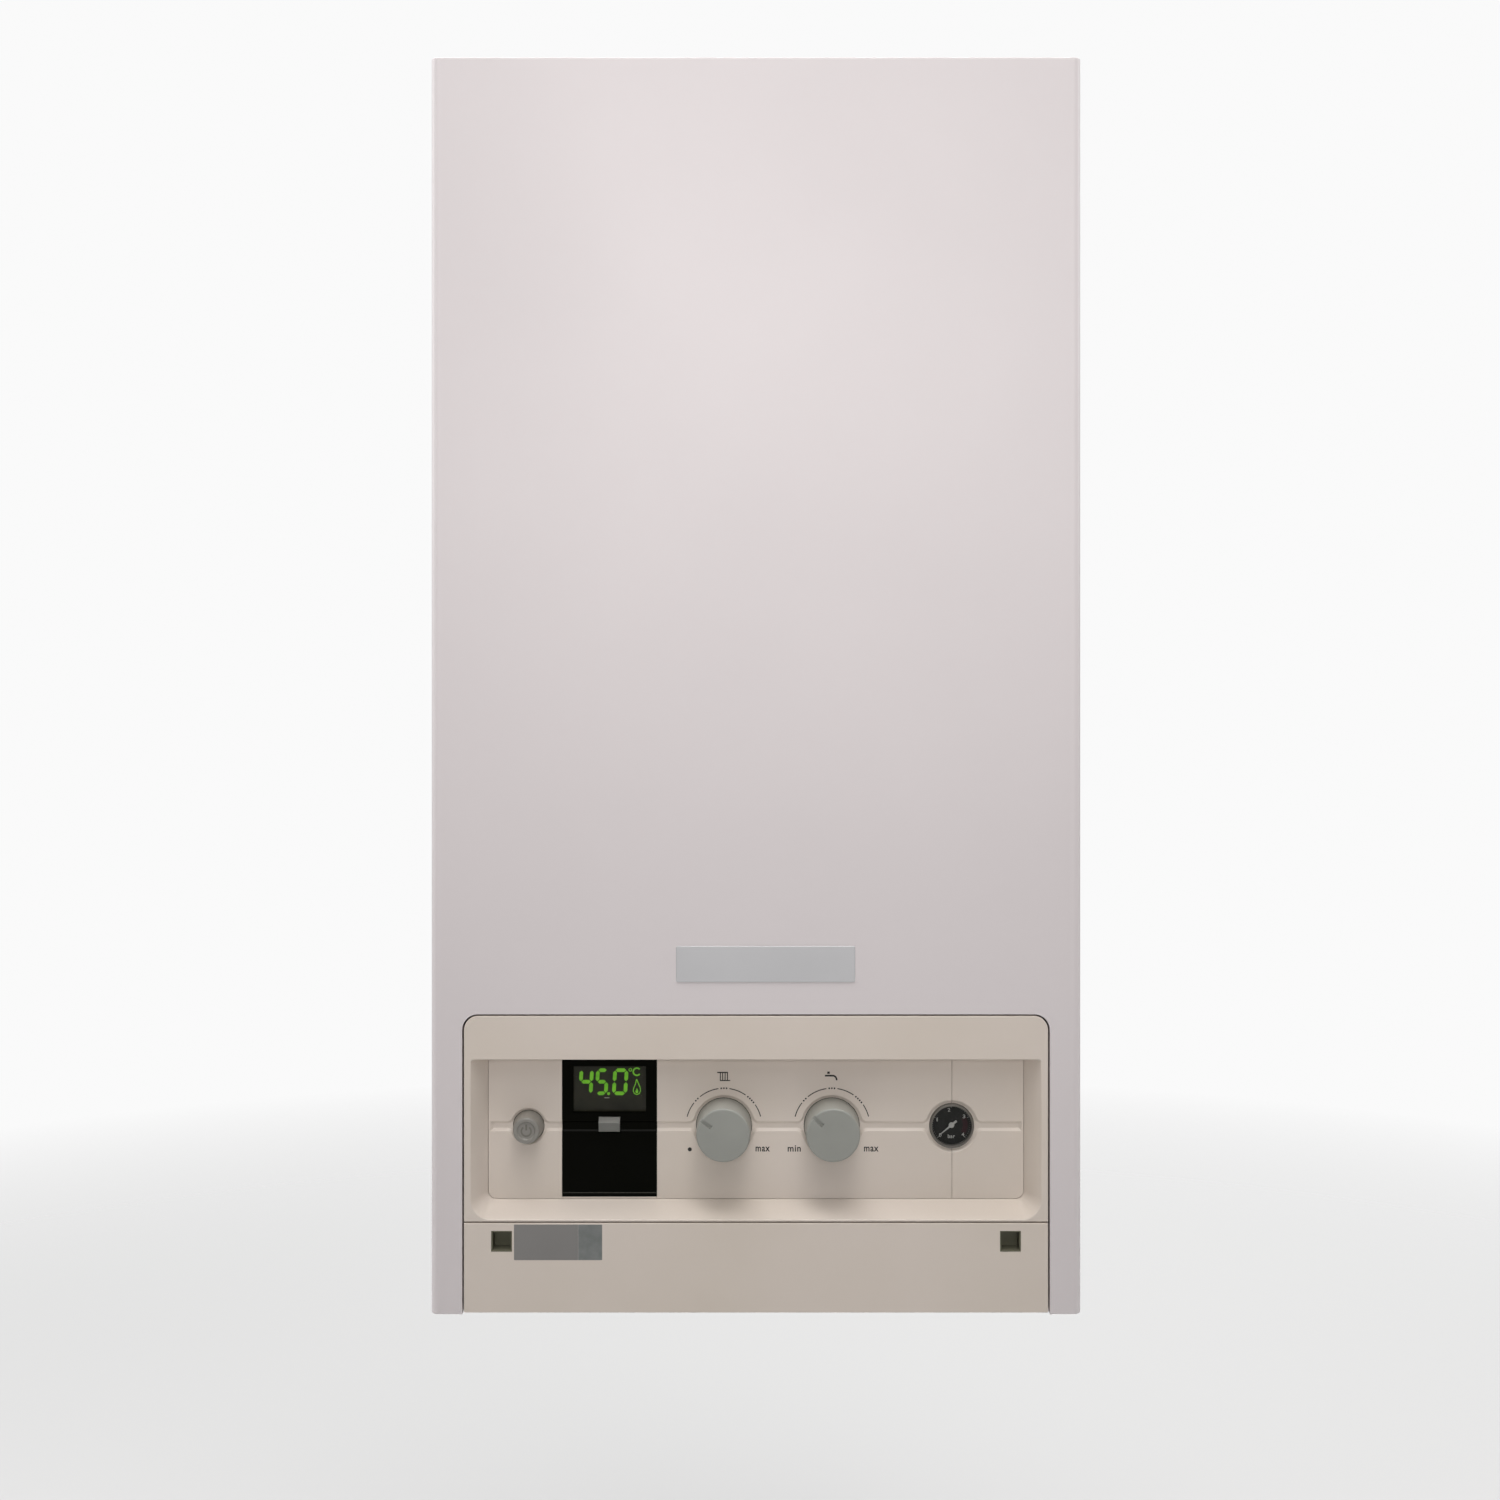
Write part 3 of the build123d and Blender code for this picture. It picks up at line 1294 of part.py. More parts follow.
with BuildPart() as pump_motor:
    rod((pump_x, pump_face_y, pump_z), (pump_x, pump_face_y - 6, pump_z), pump_radius)
    rod(
        (pump_x, pump_face_y, pump_z),
        (pump_x, pump_face_y - pump_motor_length, pump_z),
        pump_motor_radius,
    )
    fillet(pump_motor.faces().sort_by(Axis.Y)[0].edges(), 6)
    rod(
        (pump_x, pump_face_y - pump_motor_length - 4, pump_z),
        (pump_x, pump_face_y - pump_motor_length + 2, pump_z),
        12,
    )
    block(
        (pump_x - 26, pump_face_y - 50, pump_z + 22),
        (pump_x + 26, pump_face_y - 12, pump_z + pump_motor_radius + 12),
    )
    rod(
        (pump_x, pump_face_y, pump_z),
        (pump_x, pump_face_y - 40, pump_z),
        pump_shaft_radius + shaft_fit,
        Mode.SUBTRACT,
    )
save(pump_motor, "pump_motor")

# Copper pipes: heating flow from the exchanger's top to the flow group, and heating return from
# the pump to the exchanger's foot.
flow_pipe_reach = 57.0  # left of the exchanger
flow_turn_up = 290.0
flow_meet_up = 200.0
flow_pipe_x = exchanger_left - flow_pipe_reach
with BuildPart() as flow_pipe:
    pipe(
        (
            (exchanger_left - 1, port_y, flow_port_z),
            (flow_pipe_x, port_y, flow_port_z),
            (flow_pipe_x, port_y, above_base(flow_turn_up)),
            (flow_tail_x, tail_y, above_base(flow_meet_up)),
            (flow_tail_x, tail_y, tower_z - socket_depth),
        ),
        pipe_radius,
        pipe_bend,
    )
save(flow_pipe, "flow_pipe")

return_turn_up = 298.0
with BuildPart() as return_pipe:
    pipe(
        (
            (pump_x, tail_y, outlet_z - socket_depth),
            (pump_x, tail_y, above_base(return_turn_up)),
            (pump_x, port_y, return_port_z),
            (exchanger_right + 1, port_y, return_port_z),
        ),
        pipe_radius,
        pipe_bend,
    )
save(return_pipe, "return_pipe")

with BuildPart() as vessel_pipe:
    pipe(
        (
            (vessel_port_x, vessel_y, vessel_bottom - 16),
            (vessel_port_x, vessel_y, main_z),
            (vessel_port_x, tail_y + 32 - union_depth, main_z),
        ),
        vessel_pipe_radius,
        20,
    )
save(vessel_pipe, "vessel_pipe")

# Brass tails through the bottom plate, each held by a lock nut under it.
tail_wall = 3.0
tail_bore_depth = 70.0
tail_relief = 1.5  # undercut between the thread and the lock nut
nut_thick = 7.0
nut_margin = 4.5
nut_fit = 0.1
tail_tops = (
    group_z + socket_depth,
    group_z + socket_depth,
    gas_tail_z,
    sensor_z - sensor_length + socket_depth,
    group_z + socket_depth,
)
with BuildPart() as pipe_tails:
    for (x, radius), tail_top in zip(tails, tail_tops):
        rod((x, tail_y, tail_z), (x, tail_y, tail_top), radius)
        with BuildSketch(Plane.XY.offset(plate_top_z + slide_gap)):
            with Locations((x, tail_y)):
                Circle(radius + 3.5)
        extrude(amount=4)
    relief_z = frame_bottom_z - nut_thick - tail_relief
    for x, radius in tails:
        rod(
            (x, tail_y, tail_z),
            (x, tail_y, tail_z + tail_bore_depth),
            radius - tail_wall,
            Mode.SUBTRACT,
        )
        with BuildSketch(Plane.XY.offset(relief_z)):
            with Locations((x, tail_y)):
                Circle(radius + 1)
                Circle(radius - 1, mode=Mode.SUBTRACT)
        extrude(amount=tail_relief, mode=Mode.SUBTRACT)
save(pipe_tails, "pipe_tails")

with BuildPart() as lock_nuts:
    for x, radius in tails:
        with BuildSketch(Plane.XY.offset(frame_bottom_z - nut_thick)):
            with Locations((x, tail_y)):
                RegularPolygon(radius + nut_margin, 6)
                Circle(radius + nut_fit, mode=Mode.SUBTRACT)
        extrude(amount=nut_thick)
save(lock_nuts, "lock_nuts")

# Siphon on the sump's drain, a bottle with its waste pipe led down through the bottom plate.
siphon_radius = 24.0
siphon_gap = 12.0  # under the sump
siphon_length = 150.0
waste_up = 200.0
waste_step_up = 158.0
siphon_top = sump_bottom - siphon_gap
with BuildPart() as siphon:
    rod(
        (drain_drop_x, drain_drop_y, siphon_top - siphon_length),
        (drain_drop_x, drain_drop_y, siphon_top),
        siphon_radius,
    )
    fillet(siphon.edges(), 5)
    pipe(
        (
            (drain_drop_x, drain_drop_y + siphon_radius - 4, above_base(waste_up)),
            (drain_drop_x, tail_y - 6, above_base(waste_up)),
            (drain_x, tail_y, above_base(waste_step_up)),
            (drain_x, tail_y, waste_z),
        ),
        drain_radius,
        12,
    )
    rod((drain_x, tail_y, waste_z), (drain_x, tail_y, waste_z + cuff_length), drain_radius + cuff_step)
    rod((drain_x, tail_y, waste_z), (drain_x, tail_y, plate_top_z), drain_radius - 2, Mode.SUBTRACT)
    rod(
        (drain_drop_x, drain_drop_y, stub_z),
        (drain_drop_x, drain_drop_y, siphon_top),
        drain_radius + 2 + pipe_fit,
        Mode.SUBTRACT,
    )
save(siphon, "siphon")

# ================================================================== control unit
# The moulded surround, the strip under it and the dark housing behind them swing forward as one.


def dish_outline(width, height, low_corner, grow=0.0):
    """The recess at one depth: flat at the top, rounder in its two lower corners."""
    with BuildSketch() as outline:
        with Locations((0, floor_top_z - height / 2)):
            Rectangle(width + 2 * grow, height + 2 * grow)
        fillet(outline.vertices().group_by(Axis.Y)[-1], dish_high_corner)
        fillet(outline.vertices().group_by(Axis.Y)[0], low_corner + max(grow, 0))
    return outline.sketch


def mouth(grow=0.0):
    """The recess where it meets the front of the surround."""
    return front * dish_outline(dish_width, dish_height, dish_corner, grow)


def floor(plane, grow=0.0):
    """The recess's floor, moved to a plane."""
    return plane * dish_outline(floor_width, floor_height, inlay_corner, grow)


tub_back = Plane.XZ.offset(-inlay_back_y)
with BuildPart() as fascia:
    with BuildSketch(front):
        with Locations((0, (panel_top_z + panel_bottom_z) / 2)):
            Rectangle(panel_width, panel_height)
        fillet(vertices().group_by(Axis.Y)[-1], panel_corner)
    extrude(amount=-panel_rim)
    with BuildSketch(Plane.XZ.offset(-shelf_y)):
        with Locations((0, (panel_top_z + panel_bottom_z) / 2)):
            Rectangle(panel_width - 2 * panel_wall, panel_height - 2 * panel_wall)
        fillet(vertices().group_by(Axis.Y)[-1], panel_corner - panel_wall)
    extrude(amount=panel_rim - panel_wall, mode=Mode.SUBTRACT)
    loft((mouth(panel_wall), floor(tub_back, panel_wall)), ruled=True)
    extrude(floor(tub_back, panel_wall), amount=-ledge_thick)
    block(
        (-panel_width, front_y, strip_top_z - panel_wall),
        (panel_width, shelf_y, panel_bottom_z),
        Mode.SUBTRACT,
    )
    loft((mouth(), floor(inlay_face)), ruled=True, mode=Mode.SUBTRACT)
    extrude(floor(inlay_face), amount=-inlay_thick, mode=Mode.SUBTRACT)
    extrude(floor(tub_back, -ledge), amount=-ledge_thick, mode=Mode.SUBTRACT)
    fillet(fascia.faces().sort_by(Axis.Y)[0].outer_wire().edges(), panel_edge)
    fillet(fascia.faces().sort_by(Axis.Y)[0].inner_wires()[0].edges(), mouth_round)
save(fascia, "fascia")

# The inlay has one pressed groove that flares with fillets into a shallow dish round each control.
control_dishes = (
    (button_x, button_radius + knob_gap, button_mouth),
    (heating_x, knob_radius + knob_gap, knob_mouth),
    (water_x, knob_radius + knob_gap, knob_mouth),
    (gauge_x, gauge_radius + knob_gap, gauge_mouth),
)
window_high_z = floor_top_z - inlay_fit
window_low_z = floor_bottom_z + window_foot
groove_end = floor_width / 2 - groove_margin


def groove_pocket():
    """The groove and its dishes, as a sketch on the inlay's face."""
    with BuildSketch() as pocket:
        with Locations((0, control_z)):
            Rectangle(2 * groove_end, groove_width)
        for x, radius, lip in control_dishes:
            with Locations((x, control_z)):
                Circle(radius + lip)
        meets = [vertex for vertex in pocket.vertices() if abs(vertex.X) < groove_end - 1]
        fillet(
            [vertex for vertex in meets if abs(vertex.Y - control_z) > 0.4 * groove_width],
            groove_flare,
        )
    return inlay_face * pocket.sketch


def inlay_blank():
    """The whole inlay, with the window's opening, the control holes and the groove."""
    extrude(floor(inlay_face, -inlay_fit), amount=-inlay_thick)
    block(
        (window_x - window_width / 2, inlay_y, window_low_z),
        (window_x + window_width / 2, inlay_back_y, floor_top_z),
        Mode.SUBTRACT,
    )
    for x, radius, _ in control_dishes:
        rod((x, inlay_y, control_z), (x, inlay_back_y, control_z), radius, Mode.SUBTRACT)
    extrude(groove_pocket(), amount=-groove_depth, taper=groove_taper, mode=Mode.SUBTRACT)


seam_gap = 0.3
with BuildPart() as inlay_plate:
    inlay_blank()
    split(bisect_by=Plane.YZ.offset(gauge_x - seam_gap / 2), keep=Keep.BOTTOM)
save(inlay_plate, "inlay_plate")

with BuildPart() as blanking_cover:
    inlay_blank()
    split(bisect_by=Plane.YZ.offset(gauge_x + seam_gap / 2), keep=Keep.TOP)
save(blanking_cover, "blanking_cover")

# Glossy window with the groove pressed through it, a slot for the release tab, and the tab, which
# slides down to let the window go.
window_fit = 0.2
tab_fit = 0.2
tab_travel = 1.5
tab_rear = 1.5
tab_rise = 1.5  # the tab's middle above the line of the controls
tab_low_z = control_z + tab_rise - latch_height / 2
tab_high_z = tab_low_z + latch_height
with BuildPart() as display_window:
    block(
        (window_x - window_width / 2 + window_fit, inlay_y, window_low_z + window_fit),
        (window_x + window_width / 2 - window_fit, inlay_back_y, window_high_z),
    )
    extrude(groove_pocket(), amount=-groove_depth / 2, taper=groove_taper, mode=Mode.SUBTRACT)
    block(
        (window_x - latch_width / 2 - tab_fit, inlay_y, tab_low_z - tab_travel - tab_fit),
        (window_x + latch_width / 2 + tab_fit, inlay_back_y, tab_high_z + tab_fit),
        Mode.SUBTRACT,
    )
save(display_window, "display_window")

with BuildPart() as release_tab:
    with BuildSketch(Plane.YZ.offset(window_x - latch_width / 2)):
        with BuildLine():
            Polyline(
                (inlay_y, tab_high_z),
                (inlay_y - latch_proud, tab_high_z - latch_height / 3),
                (inlay_y - latch_proud * 0.7, tab_low_z + 1),
                (inlay_y - latch_proud * 0.5, tab_low_z),
                (inlay_back_y + tab_fit, tab_low_z),
                (inlay_back_y + tab_fit, tab_high_z),
                close=True,
            )
        make_face()
    extrude(amount=latch_width)
    block(
        (window_x - latch_width / 2 - 3, inlay_back_y + tab_fit, tab_low_z - 1),
        (window_x + latch_width / 2 + 3, inlay_back_y + tab_fit + tab_rear, tab_high_z),
    )
save(release_tab, "release_tab")

# Rotary knobs: a thin slightly tapered cap with a rounded front edge, a hub on the control shaft,
# and a notch in the front as a pointer.
control_shaft = 3.0
hub_wall = 3.0
knob_foot = 1.5  # the cap's rear edge stands this far inside the inlay's hole
knob_edge = 1.4
board_drop = 23.0  # board's front behind the inlay's face
pot_depth = 9.0
pot_size = 18.0
hub_clear = 1.5
board_y = inlay_y + board_drop
pot_y = board_y - pot_depth


def knob(x, pointer_angle):
    """One knob at rest, its pointer turned to the left of the top by an angle."""
    cap_y = inlay_y - knob_height
    shaft_end_y = cap_y + 6
    with BuildSketch(Plane(origin=(x, 0, control_z), x_dir=(1, 0, 0), z_dir=(0, 0, 1))) as half:
        with BuildLine() as profile:
            Polyline(
                (0, cap_y),
                (knob_face_radius, cap_y),
                (knob_radius, inlay_y + knob_foot),
                (knob_radius - knob_shell, inlay_y + knob_foot),
                (knob_face_radius - knob_shell, cap_y + knob_shell),
                (control_shaft + hub_wall, cap_y + knob_shell),
                (control_shaft + hub_wall, pot_y - hub_clear),
                (control_shaft + shaft_fit, pot_y - hub_clear),
                (control_shaft + shaft_fit, shaft_end_y - 1),
                (0, shaft_end_y - 1),
                close=True,
            )
        make_face(profile.edges())
    revolve(half.sketch, axis=Axis((x, 0, control_z), (0, 1, 0)))
    rim = edges().filter_by(GeomType.CIRCLE).group_by(Axis.Y)[0]
    fillet(rim, knob_edge)
    notch_plane = Plane(
        origin=(x, cap_y, control_z),
        x_dir=Vector(1, 0, 0).rotate(Axis.Y, -pointer_angle),
        z_dir=(0, -1, 0),
    )
    with BuildSketch(notch_plane) as notch:
        with Locations((0, knob_face_radius - pointer_length / 2)):
            Rectangle(pointer_width, pointer_length + 4)
    extrude(notch.sketch, amount=-pointer_depth, mode=Mode.SUBTRACT)


with BuildPart() as heating_knob:
    knob(heating_x, heating_pointer)
save(heating_knob, "heating_knob")

with BuildPart() as water_knob:
    knob(water_x, water_pointer)
save(water_knob, "water_knob")

# Power button: a tapered cap with a round dish in its face, on a stem that runs in the switch.
button_dish_radius = 6.3
button_dish = 1.0
switch_depth = 14.0
switch_size = 14.0
stem_end_y = board_y - 4 - button_travel
with BuildPart() as power_button:
    with BuildSketch(Plane(origin=(button_x, 0, control_z), x_dir=(1, 0, 0), z_dir=(0, 0, 1))):
        with BuildLine():
            Polyline(
                (0, inlay_y - button_height + button_dish),
                (button_dish_radius - 0.8, inlay_y - button_height + button_dish),
                (button_dish_radius, inlay_y - button_height),
                (button_face_radius, inlay_y - button_height),
                (button_radius, inlay_y + knob_foot),
                (control_shaft, inlay_y + knob_foot),
                (control_shaft, stem_end_y),
                (0, stem_end_y),
                close=True,
            )
        make_face()
    revolve(axis=Axis((button_x, 0, control_z), (0, 1, 0)))
    face_rim = power_button.edges().filter_by(GeomType.CIRCLE).group_by(Axis.Y)[0]
    fillet(face_rim.filter_by(lambda edge: edge.radius > button_dish_radius + 1), knob_edge)
save(power_button, "power_button")

# Circuit board on the housing's posts, with the parts that the controls act on.
housing_inset = 15.5  # the housing's sides inside the surround's
board_inset = 6.0  # the board's left edge inside the housing
board_gap = 11.2  # from the board's right edge to the gauge
housing_half = panel_width / 2 - housing_inset
board_left = board_inset - housing_half
board_right = gauge_x - gauge_radius - board_gap
board_top_z, board_low_z = floor_top_z - 4.0, floor_bottom_z + 2.0
post_inset = 8.0
screen_z = window_high_z - screen_drop - screen_height / 2
with BuildPart() as circuit_board:
    block((board_left, board_y, board_low_z), (board_right, board_y + board_thick, board_top_z))
save(circuit_board, "circuit_board")

with BuildPart() as board_parts:
    for x in (heating_x, water_x):
        block(
            (x - pot_size / 2, pot_y, control_z - pot_size / 2),
            (x + pot_size / 2, board_y, control_z + pot_size / 2),
        )
        rod((x, inlay_y - knob_height + 6, control_z), (x, pot_y, control_z), control_shaft)
    block(
        (button_x - switch_size / 2, board_y - switch_depth, control_z - switch_size / 2),
        (button_x + switch_size / 2, board_y, control_z + switch_size / 2),
    )
    rod(
        (button_x, board_y - switch_depth, control_z),
        (button_x, board_y - 3, control_z),
        control_shaft + shaft_fit,
        Mode.SUBTRACT,
    )
    block(
        (board_right - 24, board_y - 18, board_low_z + 4),
        (board_right - 4, board_y, board_low_z + 30),
    )
    for x in (-4.0, 22.0):
        block((x - 10, board_y - 15, board_low_z + 3), (x + 10, board_y, board_low_z + 15))
save(board_parts, "board_parts")

# Display module: a liquid-crystal cell in a light box that stands on the board.
module_margin = 4.0
with BuildPart() as display_module:
    half_x, half_z = screen_width / 2 + module_margin, screen_height / 2 + 2.0
    block(
        (window_x - half_x, inlay_back_y + slide_gap, screen_z - half_z),
        (window_x + half_x, inlay_back_y + 6, screen_z + half_z),
    )
    block(
        (window_x - half_x + 2, inlay_back_y + 6, screen_z - half_z + 2),
        (window_x + half_x - 2, board_y, screen_z + half_z - 2),
    )
save(display_module, "display_module")

# Pressure gauge: a cup with its movement, a printed dial, a needle on a spindle and a glass.
gauge_front_y = inlay_y - gauge_proud
dial_y = gauge_front_y + gauge_well
dial_thick = 0.6
glass_step = 1.4
spindle_radius = 0.7
needle_gap = 0.7
with BuildPart() as gauge_case:
    rod(
        (gauge_x, gauge_front_y, control_z),
        (gauge_x, gauge_front_y + gauge_depth, control_z),
        gauge_radius,
    )
    fillet(gauge_case.edges().group_by(Axis.Y)[0], 0.6)
    rod(
        (gauge_x, gauge_front_y + gauge_depth, control_z),
        (gauge_x, gauge_front_y + gauge_depth + 8, control_z),
        4,
    )
    rod(
        (gauge_x, gauge_front_y, control_z),
        (gauge_x, dial_y + dial_thick, control_z),
        gauge_radius - gauge_rim,
        Mode.SUBTRACT,
    )
    rod(
        (gauge_x, dial_y, control_z),
        (gauge_x, dial_y + 6, control_z),
        spindle_radius + shaft_fit,
        Mode.SUBTRACT,
    )
save(gauge_case, "gauge_case")

with BuildPart() as gauge_dial:
    rod(
        (gauge_x, dial_y, control_z),
        (gauge_x, dial_y + dial_thick, control_z),
        gauge_radius - gauge_rim - shaft_fit,
    )
    rod(
        (gauge_x, dial_y, control_z),
        (gauge_x, dial_y + dial_thick, control_z),
        spindle_radius + shaft_fit,
        Mode.SUBTRACT,
    )
save(gauge_dial, "gauge_dial")

with BuildPart() as gauge_glass:
    rod(
        (gauge_x, gauge_front_y + glass_step, control_z),
        (gauge_x, gauge_front_y + glass_step + glass_thick, control_z),
        gauge_radius - gauge_rim - shaft_fit,
    )
save(gauge_glass, "gauge_glass")

needle_length = 10.2
needle_tail = 4.5
needle_hub = 1.9
needle_angle = 129.5  # degrees left of the top, at no pressure
needle_thick = 0.5
with BuildPart() as gauge_needle:
    needle_plane = Plane(
        origin=(gauge_x, dial_y - needle_gap, control_z),
        x_dir=Vector(1, 0, 0).rotate(Axis.Y, -needle_angle),
        z_dir=(0, -1, 0),
    )
    with BuildSketch(needle_plane):
        Circle(needle_hub)
        with BuildLine():
            Polyline(
                (-0.75, -needle_tail),
                (0.75, -needle_tail),
                (0.2, needle_length),
                (-0.2, needle_length),
                close=True,
            )
        make_face()
    extrude(amount=needle_thick)
    rod((gauge_x, dial_y - needle_gap, control_z), (gauge_x, dial_y + 5, control_z), spindle_radius)
save(gauge_needle, "gauge_needle")

# Strip under the surround, with two square sockets, and a bored boss at each side for the hinge.
socket_deep = 12.0
socket_skin = 1.6
boss_reach = 10.5
hinge_boss_radius = 6.0
with BuildPart() as lower_strip:
    strip_half = panel_width / 2
    block((-strip_half, front_y, strip_low_z), (strip_half, shelf_y, strip_top_z))
    block(
        (-strip_half + panel_wall, front_y + panel_wall, strip_low_z + panel_wall),
        (strip_half - panel_wall, shelf_y, strip_top_z - panel_wall),
        Mode.SUBTRACT,
    )
    fillet(lower_strip.faces().sort_by(Axis.Y)[0].edges(), panel_edge)
    socket_high_z = strip_top_z - socket_drop
    for side in (-1, 1):
        socket_x = side * (case_width / 2 - socket_inset)
        socket_low = Vector(socket_x - socket_size / 2, front_y, socket_high_z - socket_size)
        socket_high = Vector(socket_x + socket_size / 2, front_y + socket_deep, socket_high_z)
        skin = Vector(socket_skin, socket_skin, socket_skin)
        block((socket_low.X - socket_skin, front_y + 1, socket_low.Z - socket_skin), socket_high + skin)
        block(socket_low, socket_high, Mode.SUBTRACT)
        rod(
            (side * (strip_half - 0.5), hinge_y, hinge_z),
            (side * (strip_half - boss_reach), hinge_y, hinge_z),
            hinge_boss_radius,
        )
        rod(
            (side * strip_half, hinge_y, hinge_z),
            (side * (strip_half - boss_reach + 1), hinge_y, hinge_z),
            pin_radius + pin_fit,
            Mode.SUBTRACT,
        )
save(lower_strip, "lower_strip")

# Dark housing behind the surround and the strip: a flange screwed to both, a box, posts for the
# board, and three cable openings at the foot.
housing_wall = 2.5
pack_room = 11.0  # from the plate exchanger to the housing
housing_low = 8.0  # above the casing's bottom
rim_thick = 2.0
cable_radius = 7.0
shelf_back_y = pack_front_y - pack_room
with BuildPart() as control_box:
    housing_top_z = panel_top_z - shelf_drop
    housing_bottom_z = bottom_z + housing_low
    block(
        (-strip_half + 1, shelf_y, strip_low_z + 1),
        (strip_half - 1, shelf_y + rim_thick, panel_top_z - 3),
    )
    block((-housing_half, shelf_y, housing_bottom_z), (housing_half, shelf_back_y, housing_top_z))
    fillet(control_box.faces().sort_by(Axis.Y)[-1].edges(), 8)
    block(
        (-housing_half + housing_wall, shelf_y, housing_bottom_z + housing_wall),
        (housing_half - housing_wall, shelf_back_y - housing_wall, housing_top_z - housing_wall),
        Mode.SUBTRACT,
    )
    for x in (board_left + post_inset, board_right - post_inset):
        for z in (board_low_z + post_inset, board_top_z - post_inset):
            rod((x, board_y + board_thick, z), (x, shelf_back_y - 1, z), 4)
    for x in (-90.0, 0.0, 90.0):
        rod(
            (x, shelf_back_y - housing_wall - 1, housing_bottom_z + 26),
            (x, shelf_back_y, housing_bottom_z + 26),
            cable_radius,
            Mode.SUBTRACT,
        )
save(control_box, "control_box")
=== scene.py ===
import math

import bmesh
import bpy
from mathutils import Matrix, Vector


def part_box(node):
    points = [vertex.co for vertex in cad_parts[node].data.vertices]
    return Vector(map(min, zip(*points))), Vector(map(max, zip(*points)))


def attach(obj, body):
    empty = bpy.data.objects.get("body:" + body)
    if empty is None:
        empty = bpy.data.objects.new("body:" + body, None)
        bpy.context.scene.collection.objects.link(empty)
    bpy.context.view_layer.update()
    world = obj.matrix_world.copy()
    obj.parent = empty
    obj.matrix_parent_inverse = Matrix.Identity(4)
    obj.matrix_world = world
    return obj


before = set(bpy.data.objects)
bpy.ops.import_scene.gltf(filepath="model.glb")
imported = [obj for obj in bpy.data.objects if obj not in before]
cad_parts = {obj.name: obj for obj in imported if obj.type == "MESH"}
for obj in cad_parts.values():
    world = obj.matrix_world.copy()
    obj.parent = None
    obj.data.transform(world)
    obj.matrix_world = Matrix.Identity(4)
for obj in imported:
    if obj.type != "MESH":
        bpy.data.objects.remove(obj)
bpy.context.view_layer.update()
MM = 0.001

# ------------------------------------------------------------------ casing
# Sheet steel folded round the front and both sides, stove-enamelled white. The enamel has a faint
# orange-peel surface, a little unevenness in its gloss, and some dust on its upper edges.


def paint(red, green, blue):
    """A colour as it is read off a swatch, 0 to 255, turned into the shader's linear values."""
    shares = [value / 255 for value in (red, green, blue)]
    return (*[s / 12.92 if s < 0.04045 else ((s + 0.055) / 1.055) ** 2.4 for s in shares], 1.0)


def surface_group(name, inputs):
    """An empty surface effect with its inputs, the object's own coordinates and three outputs."""
    tree = bpy.data.node_groups.new(name, "ShaderNodeTree")
    for label, value in inputs.items():
        kind = "NodeSocketColor" if isinstance(value, tuple) else "NodeSocketFloat"
        tree.interface.new_socket(label, in_out="INPUT", socket_type=kind).default_value = value
    tree.interface.new_socket("Color", in_out="OUTPUT", socket_type="NodeSocketColor")
    tree.interface.new_socket("Roughness", in_out="OUTPUT", socket_type="NodeSocketFloat")
    tree.interface.new_socket("Height", in_out="OUTPUT", socket_type="NodeSocketFloat")
    enter = tree.nodes.new("NodeGroupInput")
    leave = tree.nodes.new("NodeGroupOutput")
    place = tree.nodes.new("ShaderNodeTexCoord").outputs["Object"]
    return tree, enter.outputs, leave.inputs, place


def wire(tree, kind, settings, **sockets):
    """One node of a surface effect: its settings, then what feeds each of its sockets."""
    node = tree.nodes.new(kind)
    for label, value in settings.items():
        setattr(node, label, value)
    for label, source in sockets.items():
        key = int(label[1:]) if label[0] == "i" and label[1:].isdigit() else label
        if isinstance(source, bpy.types.NodeSocket):
            tree.links.new(source, node.inputs[key])
        else:
            node.inputs[key].default_value = source
    return node


def span(tree, source, low, high, to_low=0.0, to_high=1.0):
    """Stretches a mask's useful part, from low to high, over a new range."""
    return wire(
        tree, "ShaderNodeMapRange", {},
        i0=source, i1=low, i2=high, i3=to_low, i4=to_high,
    ).outputs[0]


def blend_colour(tree, share, first, second):
    """Mixes two colours by a mask."""
    node = wire(tree, "ShaderNodeMix", {"data_type": "RGBA"}, Factor=share)
    tree.links.new(first, node.inputs[6])
    tree.links.new(second, node.inputs[7])
    return node.outputs[2]


